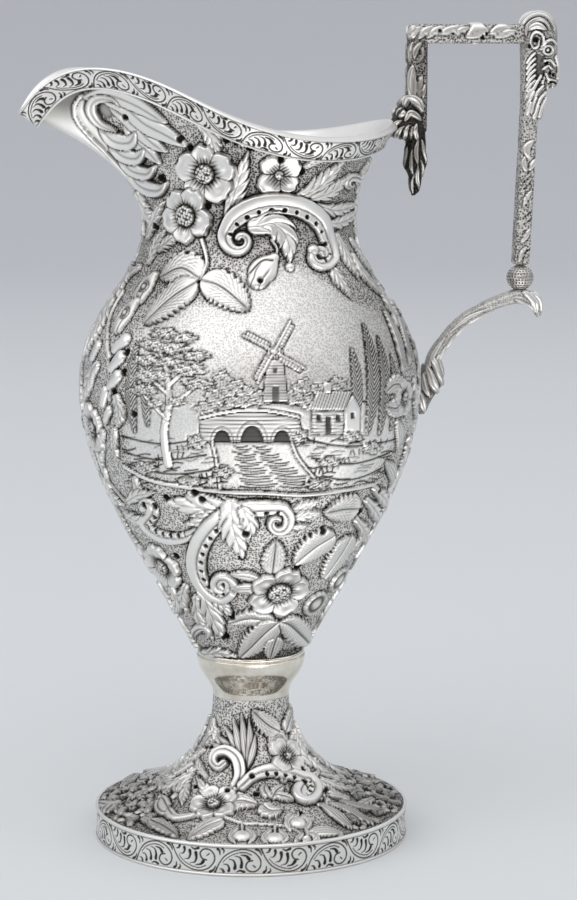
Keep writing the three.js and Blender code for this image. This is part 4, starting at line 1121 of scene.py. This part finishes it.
chase_foot(foot)
foot_pieces = chased_shell(["foot_plate", "foot_stem"], foot, FOOT_STEP)


def engraved_foot_band():
    """The upright strip under the foot: a bead at both edges and the scroll border between them."""
    columns, pairs = 1700, 11
    angles = np.linspace(-np.pi, 0, columns // 2 + 1)
    top = FOOT_BAND_TOP + 1.9  # it hides the edge of the plate
    rise = np.linspace(0.1, top, 50)
    way = (angles + np.pi) * FOOT_RADIUS
    cut = engraved_border(way[None], rise[:, None], np.pi * FOOT_RADIUS / pairs, 0.9, top - 0.9)
    bead = 0.3 * np.maximum(bump(rise - 0.45, 0.35), bump(rise - top + 0.4, 0.35))
    radius = FOOT_RADIUS + bead[:, None] - 0.16 * cut
    skin = np.stack([radius * np.cos(angles), radius * np.sin(angles), rise[:, None] + 0 * cut], 2)
    inner = FOOT_RADIUS - 1.5
    ends = turned([inner, inner + 0.4, FOOT_RADIUS - 0.3], [0.5, 0.0, 0.0], angles)
    back = turned([FOOT_RADIUS - 0.3, FOOT_RADIUS - 1.0, inner, inner], [top + 0.15, top, 7.0, 0.5], angles)
    dark = np.concatenate([0 * cut[:3], cut, 0 * cut[:4]])
    points = np.concatenate([ends, skin, back])
    values = {"tarnish_and_shade": mirrored(0.9 * dark), "polish": 1.0}
    return bent_grid("foot_band_engraved", mirrored(points, True), values)


def engraved_rim_band():
    """The strip round the mouth, with the rim's plain top edge and the smooth wall inside it."""
    columns, pairs = 1700, 12
    fine = np.linspace(-np.pi, 0, 4001)
    line = mouth(fine, np.full(len(fine), 0.93))
    way = ways(line)
    even = np.linspace(0, way[-1], columns // 2 + 1)
    angles = np.interp(even, way, fine)
    low = band_share(angles)
    share = np.linspace(0, 1, 42)[:, None]
    wall = mouth(angles[None], low + (1 - low) * share)
    normals = facing(wall)
    unit_length = way[-1] / pairs
    cut = engraved_border(even[None], share * BAND_HEIGHT, unit_length, 0.55, BAND_HEIGHT - 0.3)
    bevel = BAND_PROUD - (0.7 + 1.5 * smooth(0.5, 0.95, (1 - np.cos(angles)) / 2)) * share
    bead = 0.15 * np.maximum(bump(share, 0.1), bump(share - 1, 0.1))
    skin = wall + normals * (bevel + bead - 0.15 * cut)[..., None]
    bottom, bottom_normals = wall[:1], normals[:1]
    lower = [bottom - 0.9 * bottom_normals, bottom + 0.1 * bottom_normals, bottom + 1.3 * bottom_normals]
    top, top_normals = wall[-1:], normals[-1:]
    up = unit(wall[-1:] - wall[-2:-1])
    upper = [
        top + (bevel[-1:] - 0.15)[..., None] * top_normals + 0.15 * up,
        top + (0.5 * bevel[-1:] - 0.5 * WALL)[..., None] * top_normals + 0.2 * up,
        top - (WALL - 0.15) * top_normals + 0.15 * up,
        top - WALL * top_normals,
    ]
    inner_rows = np.linspace(1, 0.03, 8)[1:, None] * 0.97 + 0.03
    inner = mouth(angles[None], low + (1 - low) * inner_rows)
    inner = list((inner + WALL * facing(inner))[:, None])
    points = np.concatenate([*lower, skin, *upper, *inner, lower[0]])
    dark = np.zeros(points.shape[:2])
    dark[3 : 3 + len(cut)] = 0.9 * cut
    return bent_grid("rim_band_engraved", mirrored(points, True), {"tarnish_and_shade": mirrored(dark), "polish": 1.0})


foot_band = engraved_foot_band()
rim_band = engraved_rim_band()

# Collar and seat wire
collar_line = curve_through((
    (10.9, 41.3), (11.15, 42.6), (12.15, 44.7), (13.9, 47.2), (14.9, 49.3), (15.3, 51.0), (15.5, COLLAR_TOP),
), 40)
collar = turned_piece("collar_moulding", [
    (10.0, 40.6), (10.7, 40.6), (10.9, 41.0), *collar_line,
    (15.3, COLLAR_TOP + 0.3), (14.4, COLLAR_TOP + 0.4),
    *(collar_line[::-4] - (WALL, 0)), (10.0, 41.0), (10.0, 40.6),
])
wire_turn = np.linspace(0, 2 * np.pi, 25)
seat_wire = turned_piece("seat_wire_round", np.stack([
    COLLAR_RADIUS - 0.8 + 0.7 * np.cos(wire_turn),
    COLLAR_TOP + 0.3 + SEAT_WIRE / 2 + 0.8 * np.sin(wire_turn),
], 1))


# The handle, in the plane of lip and handle

def in_plane(x, y):
    """Where a pixel of the photograph meets the plane of lip and handle."""
    ray = EYE_AHEAD + EYE_RIGHT * (x - IMAGE_WIDTH / 2) / LENS_PX - EYE_UP * (y - IMAGE_HEIGHT / 2) / LENS_PX
    point = EYE - ray * EYE[1] / ray[1]
    return point[0], point[2]


def evenly(points, spacing):
    """A smooth path through points as points a spacing apart, and the way to each."""
    rough = curve_through(points, 400)
    way = ways(rough)
    even = np.linspace(0, way[-1], int(way[-1] / spacing) + 1)
    return np.stack([np.interp(even, way, column) for column in rough.T], 1), even


def section(power, columns):
    """Half of a rounded square, from its left edge by the near side to its right edge."""
    turn = np.linspace(-np.pi, 0, columns)
    cos, sin = np.cos(turn), np.sin(turn)
    return np.sign(cos) * np.abs(cos) ** (2 / power), np.abs(sin) ** (2 / power)


def bar(line, breadth, depth, power=4.0, rounding=1.2, columns=49):
    """Half of a bar along a line of x and z, ready to chase.

    breadth is its half width across the plane and depth its half thickness in it, along the way."""
    path, even = evenly([(x, 0.0, z) for x, z in line], 0.3)
    along = unit(np.gradient(path, axis=0))
    near = np.array([0.0, -1.0, 0.0])
    out = np.cross(near, along)
    cos, sin = section(power, columns)
    end = np.minimum(even, even[-1] - even)
    shrink = np.sqrt(np.clip(1 - (1 - np.clip(end / rounding, 0, 1)) ** 2, 0.02, 1))
    share = even / even[-1]
    a = (np.interp(share, np.linspace(0, 1, len(depth)), depth) * shrink)[:, None, None]
    b = (np.interp(share, np.linspace(0, 1, len(breadth)), breadth) * shrink)[:, None, None]
    return Ground(path[:, None] - out[:, None] * a * cos[None, :, None] + near * b * sin[None, :, None])


def modelled(rows, power=2.3, columns=61):
    """Half of an upright cast form, ready to chase.

    From its foot up, each row has its height and left and right edge in pixels, and its half breadth."""
    places = []
    for y, left, right, breadth in rows:
        (first, height), (last, _) = in_plane(left, y), in_plane(right, y)
        places.append(((first + last) / 2, height, (last - first) / 2, breadth))
    middle, height, half, breadth = (column[:, None] for column in evenly(places, 0.2)[0].T)
    cos, sin = section(power, columns)
    return Ground(np.stack([middle + half * cos, -breadth * sin, height + 0 * cos], 2))


def chased_bar(name, sheet, shade=0.6, gain=1.2):
    """The whole bar from its chased half, with closed ends and hollows darkened by oxide and painted shade."""
    shape = sheet.shape
    height, cover, ink = (mirrored(v.reshape(shape)) for v in (sheet.height, sheet.cover, sheet.ink))
    points = mirrored(sheet.points.reshape(*shape, 3), True)
    points = points + mirrored(sheet.normals.reshape(*shape, 3), True) * height[..., None]
    first, last = (np.broadcast_to(points[k].mean(0), points[:1].shape) for k in (0, -1))
    points = np.concatenate([first, points, last])
    soft = height
    for _ in range(6):
        ring = (np.roll(soft[:, :-1], 1, 1) + np.roll(soft[:, :-1], -1, 1)) / 2
        ring = np.concatenate([ring, ring[:, :1]], 1)
        tall = np.pad(soft, ((1, 1), (0, 0)), mode="edge")
        soft = 0.4 * soft + 0.3 * ring + 0.15 * (tall[:-2] + tall[2:])
    # Dark from the ink, and from oxide and painted shade where a point lies below its smoothed surroundings
    dark = np.clip(shade * ink + gain * np.clip(soft - height, 0, 1), 0, 1)
    dark, polish = (np.concatenate([v[:1], v, v[-1:]]) for v in (dark, cover))
    return bent_grid(name, points, {"tarnish_and_shade": dark, "polish": polish})


leg_low, leg_high = node_box("leg")
branch_low, branch_high = node_box("top_branch")
grip_low, grip_high = node_box("grip")
knop_low, knop_high = node_box("knop")
LEG_X = (leg_low[0] + leg_high[0]) / 2
BRANCH_Z = (branch_low[2] + branch_high[2]) / 2
BRANCH_HALF = (branch_high[2] - branch_low[2]) / 2
GRIP_HALF = grip_high[1]
GRIP_FOOT_X, GRIP_TOP_X = grip_low[0] + GRIP_HALF, grip_high[0] - GRIP_HALF
KNOP = (knop_low + knop_high) / 2
KNOP_RADIUS = (knop_high[2] - knop_low[2]) / 2


def branch_pieces():
    """Leg and top branch: a lopped branch with leaves laid on its bark."""
    half = BRANCH_HALF - 0.06
    leg = bar(((LEG_X, leg_low[2] - 0.8), (LEG_X, BRANCH_Z + 1.5)), (0.75 * half, half, half, half), (half,))
    leg.ink += 0.25
    each(blade, leg, (
        (3.4, (413, 98), (410, 82), (413, 65)), (2.0, (419, 98), (419, 86), (422, 74)),
        (1.3, (423, 98), (424, 90), (425, 84)), (1.8, (410, 62), (409, 52), (413, 42)),
        (1.8, (414, 58), (416, 50), (421, 42)), (1.2, (420, 62), (422, 54), (423, 46)),
        (1.0, (415, 96), (416, 86), (415, 76)),
    ), 0.5, 3)
    top = bar(((branch_low[0], BRANCH_Z), (branch_high[0] + 1.2, BRANCH_Z)), (BRANCH_HALF,), (BRANCH_HALF,))
    top.ink += 0.15
    each(blade, top, (
        (2.2, (411, 40), (415, 32), (424, 27)), (2.2, (419, 38), (425, 32), (436, 27)),
        (2.2, (428, 37), (436, 31), (448, 27)), (2.2, (440, 34), (450, 30), (464, 27)),
        (4.0, (468, 36), (478, 31), (489, 31)), (2.6, (490, 33), (500, 29), (512, 28)),
        (2.2, (496, 37), (506, 33), (518, 31)), (1.8, (456, 33), (462, 30), (470, 28)),
        (1.8, (408, 36), (410, 30), (416, 26)),
    ), 0.5, 2)
    pits(top, 0.5, (483, 38), (440, 31), (487, 34))
    return chased_bar("leg_branch", leg), chased_bar("top_branch_bark", top)


def grip_piece():
    """The long grip: matted bark with a hooked leaf, a forked leaf and slanting cuts."""
    line = (GRIP_FOOT_X, grip_low[2] - 0.6), (GRIP_TOP_X, grip_high[2] + 0.6)
    sheet = bar(line, (GRIP_HALF,), (GRIP_HALF,))
    sheet.ink += 0.15
    each(blade, sheet, (
        (2.2, (528, 158), (527, 148), (534, 140)), (1.7, (527, 172), (524, 164), (525, 156)),
        (1.7, (529, 170), (533, 164), (536, 158)), (1.6, (522, 242), (526, 236), (530, 228)),
        (1.5, (524, 206), (527, 198), (532, 190)), (1.5, (519, 262), (522, 254), (527, 246)),
    ), 0.4, 2)
    for y in (178, 185, 214, 221, 250):
        sheet.engrave(sheet.seen((524, y + 4), (531, y - 2)), 0.28, 0.2, 0.7)
    return chased_bar("grip_bark", sheet)


def knop_piece():
    """The ball under the grip, pricked all over with a pointed punch."""
    turn, tilt = np.linspace(-np.pi, 0, 65), np.linspace(0.22, np.pi - 0.22, 100)
    ball = turned(np.sin(tilt) * KNOP_RADIUS * 1.06, -np.cos(tilt) * KNOP_RADIUS, turn) + KNOP
    sheet = Ground(ball)
    row = np.round(tilt / 0.24)
    place = (turn[None] / 0.24) * np.sin(0.24 * row)[:, None] + 0.5 * (row % 2)[:, None]
    prick = lines(place, 1.0, 0.24) * lines(tilt / 0.24, 1.0, 0.24)[:, None]
    sheet.height -= 0.25 * prick.ravel()
    sheet.ink += 0.7 * prick.ravel()
    sheet.cover[:] = 0.6
    return chased_bar("knop_pricked", sheet)


def arm_piece():
    """The arm from the ball down to the belly: a stem with long leaf strokes, and a free leafy curl."""
    line = [in_plane(*p) for p in (
        (415, 414), (418, 399), (423, 384), (429, 368), (437, 351), (447, 336), (460, 322), (477, 311),
        (497, 302), (518, 296), (531, 299), (537, 308), (537, 317),
    )]
    depth = (0.7, 1.0, 1.3, 1.6, 1.7, 1.7, 1.7, 1.7, 1.7, 1.8, 2.2, 1.9, 0.7)
    sheet = bar(line, (1.6, 1.9, 2.1, 2.2, 2.3, 2.4, 2.5, 2.6, 2.6, 2.6, 2.7, 2.2, 1.0), depth, 2.6)
    sheet.ink += 0.3
    sheet.cover[:] = 0.6
    each(blade, sheet, (
        (1.9, (432, 374), (438, 360), (446, 350)), (1.9, (438, 362), (446, 350), (455, 342)),
        (1.8, (446, 350), (455, 340), (464, 334)), (1.7, (456, 340), (466, 330), (476, 325)),
        (1.6, (470, 328), (482, 320), (496, 314)), (1.3, (428, 372), (434, 354), (446, 336)),
        (1.2, (450, 332), (468, 318), (490, 308)), (2.6, (524, 292), (534, 300), (537, 314)),
        (1.6, (530, 292), (540, 300), (541, 312)), (1.5, (516, 300), (526, 304), (532, 314)),
    ), 0.5, 2)
    return chased_bar("scroll_arm_leafy", sheet)


def leaf_pieces():
    """Cast leaves: where the arm meets the belly, below the leg, and the knot that clasps the rim."""
    arm = modelled((
        (414, 419, 424, 0.6), (409, 417, 427, 1.6), (404, 416, 429, 2.2), (397, 416, 433, 2.8),
        (390, 417, 438, 3.3), (384, 419, 442, 3.6), (376, 421, 443, 3.6), (368, 423, 443, 3.4),
        (361, 427, 441, 2.9), (355, 431, 437, 1.2),
    ), 2.0)
    arm.ink += 0.5
    arm.cover[:] = 0.7
    each(blade, arm, (
        (2.6, (432, 358), (438, 370), (441, 386)), (2.6, (428, 366), (431, 378), (436, 394)),
        (2.0, (424, 374), (425, 386), (430, 398)), (2.2, (419, 388), (422, 400), (424, 412)),
        (1.4, (437, 360), (441, 368), (442, 378)),
    ), 0.8, 3)
    pendant = modelled((
        (195.5, 411.5, 414.5, 0.5), (191, 410.5, 419, 1.4), (185, 410, 420.5, 1.9),
        (178, 409, 421.5, 2.4), (172, 407, 423, 2.9), (167, 404, 425.5, 3.2), (160, 405, 427, 3.4),
        (152, 406, 425.5, 3.4), (144, 405.5, 425.5, 3.2), (136, 407, 425, 3.1), (128, 408, 424.8, 3.0),
        (122, 411, 424, 2.0),
    ), 2.0)
    pendant.ink += 0.75
    pendant.cover[:] = 0.6
    each(blade, pendant, (
        (1.5, (418, 140), (416, 152), (418, 166)), (1.2, (422, 140), (424, 152), (426, 164)),
        (1.2, (412, 150), (411, 164), (414, 178)), (1.3, (418, 166), (417, 178), (419, 190)),
        (0.9, (407, 146), (406, 158), (405, 168)), (0.9, (421, 160), (423, 168), (422, 178)),
        (0.9, (413, 176), (412, 184), (413, 194)),
    ), 0.6, 2)
    clasp = modelled((
        (142, 407, 419, 1.6), (139, 402, 421, 2.8), (134, 391, 422, 3.8), (128, 389, 422, 4.3),
        (120, 392, 422, 4.4), (114, 395, 422, 4.3), (108, 398, 421.5, 4.0), (102, 403, 420, 3.5),
        (98, 407, 417, 2.4),
    ), 2.4)
    clasp.ink += 0.7
    clasp.cover[:] = 0.6
    each(blade, clasp, (
        (2.0, (405, 121), (411, 113), (421, 121)), (1.5, (392, 131), (396, 124), (402, 120)),
        (1.6, (396, 137), (400, 130), (405, 126)), (1.5, (405, 139), (406, 131), (410, 124)),
        (1.6, (417, 140), (415, 131), (417, 123)), (1.0, (411, 139), (411, 132), (413, 126)),
    ), 0.7, 2)
    blade(clasp, clasp.seen((405, 107), (408, 100), (416, 101), (421, 113)), 3.2, 1.1, 3)
    pearl(clasp, clasp.spot(401, 113), 1.5, 1.2)
    for shift in (-1.6, 0.4, 2.4):
        clasp.engrave(clasp.seen((399 + shift, 117 - shift), (403 + shift, 110 - shift)), 0.22, 0.2, 0.9)
    named = ("arm_leaf_cast", arm), ("pendant_leaf_cast", pendant), ("clasp_leaves", clasp)
    return [chased_bar(name, sheet, 0.9) for name, sheet in named]


def ram_piece():
    """The ram's head: ribbed horns over the brow, a curled end, a ringed eye, the muzzle, and wool below."""
    sheet = modelled((
        (120, 525, 540, 2.3), (116, 522, 541.5, 2.6), (106, 521, 543.5, 2.8), (97, 520.5, 545, 2.9),
        (91, 520.5, 546, 2.9), (89, 520.5, 549, 2.9), (87, 520.5, 554.5, 2.8), (82, 520.5, 557.5, 2.8),
        (72, 520.5, 559, 2.9), (64, 520.5, 558.5, 3.1), (56, 520.5, 557, 3.6), (50, 520.5, 556.5, 4.2),
        (42, 521, 556, 4.9), (34, 520.5, 556, 5.2), (26, 521, 555, 4.9), (20, 523, 552.5, 4.2),
        (16, 526.5, 549, 3.4), (13, 531, 544.5, 2.2), (11.8, 535, 540, 1.0),
    ))
    see = sheet.seen
    sheet.cover[:] = 0.4
    sheet.ink += 0.2
    hollow(sheet, ((533, 52), (545, 57), (547, 66), (544, 78), (541, 90), (536, 90), (534, 70)), 0.6, 0.6)
    for x in (536, 538.5, 541, 543.5):
        sheet.engrave(see((x + 1, 56), (x + 1.5, 68), (x, 82)), 0.2, 0.15, 0.95)
    each(blade, sheet, (
        (2.0, (521, 36), (522, 27), (528, 18), (537, 14), (546, 16), (552, 23), (555, 33)),
        (1.5, (526, 35), (528, 27), (533, 22), (540, 20), (546, 23), (551, 31)),
        (2.2, (529, 30), (537, 26), (547, 30)),
    ), 0.8, 2)
    stem(sheet, see(
        (541, 49), (544, 42), (542, 35), (536, 32), (532, 36), (531, 43), (534, 48), (538, 46),
        (539, 41),
    ), 1.0, 0.8, 0.3)
    pits(sheet, 0.7, (536, 40))
    pits(sheet, 0.6, (529, 46))
    stem(sheet, see((544, 45), (547, 41), (552, 40), (555, 44)), 0.9, 0.7, 0.2)
    pits(sheet, 0.9, (548, 50))
    stem(sheet, see(*spiral(548, 50, 4.4, 4.4, 0, 352)), 0.75, 0.6, 0)
    pearl(sheet, sheet.spot(548, 50), 0.5)
    each(stem, sheet, (
        (1.2, (556, 57), (558, 67), (557, 79)), (0.9, (545, 61), (551, 61), (555, 66)),
        (0.8, (544, 69), (548, 66), (552, 69)), (0.8, (544, 78), (542, 89)),
        (0.8, (549, 80), (547, 88)), (0.7, (553, 83), (552, 87)),
        (0.8, (546, 74), (549, 79), (556, 81)),
    ), 0.5, 0.3)
    pits(sheet, 0.5, (550.5, 73), (554, 75), (547, 63))
    sheet.engrave(see((557, 84), (552, 82), (548, 84)), 0.3, 0.3, 0.9)
    for k in range(7):
        y = 57 + 5.6 * k
        stem(sheet, see((527.5, y + 6), (531, y), (535, y - 4)), 1.1, 0.55, 0.3)
    for points in (
        ((530, 98), (534, 88), (541, 76)), ((533, 104), (537, 93), (543, 86)),
        ((536, 110), (540, 99), (545, 92)), ((539, 116), (542, 106), (545, 98)),
        ((528, 106), (531, 98), (534, 92)), ((531, 112), (533, 105), (536, 98)),
        ((527, 114), (529, 109), (531, 103)), ((534, 117), (536, 112), (538, 106)),
    ):
        stem(sheet, see(*points), 1.2, 0.6, 0.3)
    return chased_bar("ram_head_cast", sheet, 1.0, 1.5)


leg_piece, branch_piece = branch_pieces()
grip = grip_piece()
knop = knop_piece()
arm = arm_piece()
arm_leaf, pendant_leaf, clasp_leaves = leaf_pieces()
ram = ram_piece()


# Finishes. The patterns' real sizes are in metres. The punch is drawn a little coarser than it is, to show.
PUNCH_SPACING, CLOUD_SIZE, SMEAR_SIZE, STREAK_SIZE = 0.0006, 0.02, 0.003, 0.004
PUNCH_DEPTH = 0.00022
# The paper's colours, which darken with the distance: a painted falloff of light
PAPER = ((0.0, "#dcdfe0"), (0.3, "#dadcde"), (0.6, "#d0d2d5"), (1.0, "#c0c1c4"))
PAPER_REACH = 0.28  # share of the paper's shades that one metre takes
CHASED = ((0.0, "#f6f4f1"), (0.35, "#bdbbb7"), (0.7, "#6a6865"), (1.0, "#2b2a28"))
OXIDISED = ((0.0, "#e9e6e0"), (0.3, "#a5a29d"), (0.65, "#55524f"), (1.0, "#252321"))
POLISHED = ((0.3, "#f4f0e6"), (0.75, "#d3cabc"))
MATH, NOISE, RAMP = "ShaderNodeMath", "ShaderNodeTexNoise", "ShaderNodeValToRGB"
PLACE, LAYER = "ShaderNodeTexCoord", "ShaderNodeAttribute"
# Sums, all kept between 0 and 1
SUM, LESS, TIMES, BLEND = (
    {"operation": kind, "use_clamp": True} for kind in ("ADD", "SUBTRACT", "MULTIPLY", "MULTIPLY_ADD")
)


def linear(code):
    """An sRGB hex value as linear red, green, blue and alpha."""
    parts = [int(code[i : i + 2], 16) / 255 for i in (1, 3, 5)]
    return [c / 12.92 if c <= 0.04045 else ((c + 0.055) / 1.055) ** 2.4 for c in parts] + [1]


def add(tree, kind, inputs=None, output=0, stops=(), **settings):
    """Adds a node and gives one of its outputs. Each input is a value or the output that feeds it.

    The stops of a ramp are shares, each with the colour that is reached there."""
    node = tree.nodes.new(kind)
    for key, value in settings.items():
        setattr(node, key, value)
    for key, value in (inputs or {}).items():
        if isinstance(value, bpy.types.NodeSocket):
            tree.links.new(value, node.inputs[key])
        else:
            node.inputs[key].default_value = value
    for k, (place, code) in enumerate(stops):
        elements = node.color_ramp.elements
        if k >= len(elements):
            elements.new(1)
        elements[k].position, elements[k].color = place, linear(code)
    return node.outputs[output]


def new_material(name):
    material = bpy.data.materials.new(name)
    material.use_nodes = True
    return material, material.node_tree, material.node_tree.nodes["Principled BSDF"]


def worked_silver(name, stops, ground_dark, rough):
    """Silver worked with punches: bright where it is rubbed, black in the recesses with oxide and painted
    shade, matted on the ground.
    """
    material, tree, shader = new_material(name)
    place = add(tree, PLACE, output="Object")
    # The layer read here holds oxide, cut lines and painted shade
    tarnish_and_shade = add(tree, LAYER, output="Fac", attribute_name="tarnish_and_shade")
    polish = add(tree, LAYER, output="Fac", attribute_name="polish")
    ground = add(tree, MATH, {0: 1.0, 1: polish}, **LESS)
    punch = add(tree, "ShaderNodeTexVoronoi", {
        "Vector": place, "Scale": 1 / PUNCH_SPACING, "Randomness": 0.8,
    }, "Distance")
    dots = add(tree, MATH, {0: punch, 1: -2.0, 2: 1.25}, **BLEND)
    matted = add(tree, MATH, {0: dots, 1: 0.75, 2: ground_dark}, **BLEND)
    pits = add(tree, MATH, {0: ground, 1: matted}, **TIMES)
    cloud = add(tree, NOISE, {"Vector": place, "Scale": 1 / CLOUD_SIZE, "Detail": 3.0}, "Fac")
    smear = add(tree, NOISE, {"Vector": place, "Scale": 1 / SMEAR_SIZE, "Detail": 4.0}, "Fac")
    veil = add(tree, MATH, {0: 0.14, 1: add(tree, MATH, {0: cloud, 1: smear}, **TIMES)}, **TIMES)
    recess = add(tree, MATH, {0: tarnish_and_shade, 1: pits}, **SUM)
    dark = add(tree, MATH, {0: recess, 1: veil}, **SUM)
    shine = add(tree, MATH, {0: ground, 1: 0.18, 2: rough}, **BLEND)
    shine = add(tree, MATH, {0: tarnish_and_shade, 1: 0.3, 2: shine}, **BLEND)
    pricked = add(tree, MATH, {0: punch, 1: ground}, **TIMES)
    relief = add(tree, "ShaderNodeBump", {
        "Height": pricked, "Strength": 0.6, "Distance": PUNCH_DEPTH,
    }, "Normal")
    tree.links.new(add(tree, RAMP, {"Fac": dark}, "Color", stops), shader.inputs["Base Color"])
    tree.links.new(shine, shader.inputs["Roughness"])
    tree.links.new(relief, shader.inputs["Normal"])
    shader.inputs["Metallic"].default_value = 1
    return material


def polished_silver():
    """Plain silver off the buff: nearly a mirror, with faint streaks."""
    material, tree, shader = new_material("silver_polished")
    place = add(tree, PLACE, output="Object")
    streak = add(tree, NOISE, {"Vector": place, "Scale": 1 / STREAK_SIZE, "Detail": 5.0}, "Fac")
    tree.links.new(add(tree, RAMP, {"Fac": streak}, "Color", POLISHED), shader.inputs["Base Color"])
    tree.links.new(add(tree, MATH, {0: streak, 1: 0.12, 2: 0.06}, **BLEND), shader.inputs["Roughness"])
    shader.inputs["Metallic"].default_value = 1
    return material


def paper_with_painted_falloff():
    """Seamless paper, with a painted falloff of light: palest under the jug, greyer with the distance."""
    material, tree, shader = new_material("paper_with_painted_falloff")
    place = add(tree, PLACE, output="Object")
    away = add(tree, "ShaderNodeVectorMath", {0: place}, "Value", operation="LENGTH")
    share = add(tree, MATH, {0: away, 1: PAPER_REACH}, **TIMES)
    tree.links.new(add(tree, RAMP, {"Fac": share}, "Color", PAPER), shader.inputs["Base Color"])
    shader.inputs["Roughness"].default_value = 0.9
    shader.inputs["Specular IOR Level"].default_value = 0.1
    return material


def brown_card():
    """Dark brown card: it stands for the room behind the camera, which the bright silver mirrors."""
    material, _, shader = new_material("brown_card")
    shader.inputs["Base Color"].default_value = linear("#6d594a")
    shader.inputs["Roughness"].default_value = 0.9
    return material


FINISHES = {
    "chased_silver": worked_silver("silver_chased", CHASED, 0.08, 0.4),
    "oxidised_silver": worked_silver("silver_oxidised", OXIDISED, 0.15, 0.3),
    "polished_silver": polished_silver(),
}

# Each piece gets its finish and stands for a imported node
for pieces, node, finish in (
    (body_pieces, "body", "chased_silver"),
    (foot_pieces, "foot", "chased_silver"),
    ([foot_band], "foot_band", "chased_silver"),
    ([rim_band], "rim_band", "chased_silver"),
    ([collar], "collar", "polished_silver"),
    ([seat_wire], "seat_wire", "polished_silver"),
    ([leg_piece], "leg", "oxidised_silver"),
    ([branch_piece], "top_branch", "chased_silver"),
    ([grip], "grip", "chased_silver"),
    ([knop], "knop", "oxidised_silver"),
    ([arm], "scroll_arm", "chased_silver"),
    ([arm_leaf], "arm_leaf", "chased_silver"),
    ([pendant_leaf], "pendant_leaf", "oxidised_silver"),
    ([clasp_leaves], "rim_clasp", "oxidised_silver"),
    ([ram], "ram_head", "chased_silver"),
):
    for piece in pieces:
        piece.data.materials.append(FINISHES[finish])
        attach(piece, "root")
        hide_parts(node)
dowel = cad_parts["knop_dowel"].data.materials
dowel.clear()
dowel.append(FINISHES["oxidised_silver"])

# The studio: paper swept up all round, and two brown cards behind the camera, which itself doesn't see them
PAPER_FLAT, PAPER_BEND = 2.0, 1.3
bpy.ops.object.select_all(action="DESELECT")
bend = np.linspace(0, np.pi / 2, 17)
sweep = [(0.0, 0.0), *zip(PAPER_FLAT + PAPER_BEND * np.sin(bend), PAPER_BEND - PAPER_BEND * np.cos(bend))]
cove = bent_grid("paper_sweep", turned(*np.array(sweep).T * 1000, np.linspace(-np.pi, np.pi, 129)), {})
cove.data.materials.append(paper_with_painted_falloff())
card_paper = brown_card()
for name, place, tilt in (
    ("card_lying", (0, -1.95, 0.004), 0),
    ("card_standing", (0, -2.0, 1.0), math.pi / 2),
):
    bpy.ops.mesh.primitive_plane_add(size=2, location=place, rotation=(tilt, 0, 0))
    card = bpy.context.object
    card.name = name
    card.visible_camera = False
    card.data.materials.append(card_paper)

# Light: a pale room, soft windows at both sides and in front, and two weaker cards, one of them on the table
world = bpy.context.scene.world or bpy.data.worlds.new("studio")
bpy.context.scene.world = world
world.use_nodes = True
world.node_tree.nodes["Background"].inputs["Color"].default_value = linear("#e9ebef")
world.node_tree.nodes["Background"].inputs["Strength"].default_value = 0.96
for name, place, target, size, power in (
    ("left_window", (-1.6, -0.5, 0.85), (0, 0, 0.12), 1.3, 4.6),
    ("front_window", (-0.35, -1.1, 1.5), (0, 0, 0.14), 2.2, 13),
    ("front_card", (0.1, -1.6, 0.75), (0, 0, 0.1), 0.9, 1.5),
    ("right_window", (1.5, -0.6, 0.8), (0, 0, 0.12), 1.0, 1.3),
    ("table_card", (0, -0.23, 0.01), (0, -0.23, 1), 0.28, 0.4),
):
    bpy.ops.object.light_add(type="AREA", location=place)
    lamp = bpy.context.object
    lamp.name = name
    lamp.data.size = size
    lamp.data.energy = power
    way = np.array(target) - np.array(place)
    tilt = math.acos(-way[2] / np.linalg.norm(way))
    lamp.rotation_euler = (tilt, 0, math.atan2(way[1], way[0]) - math.pi / 2)

FILM = 36  # millimetres, along the longer side of the image
bpy.ops.object.camera_add()
camera = bpy.context.object
camera.location = (EYE + AXIS) * 0.001
camera.rotation_euler = (math.pi / 2 - EYE_PITCH, 0, EYE_TURN)
camera.data.lens = LENS_PX / IMAGE_HEIGHT * FILM
camera.data.sensor_width = FILM
bpy.context.scene.camera = camera
bpy.context.scene.view_settings.view_transform = "Standard"
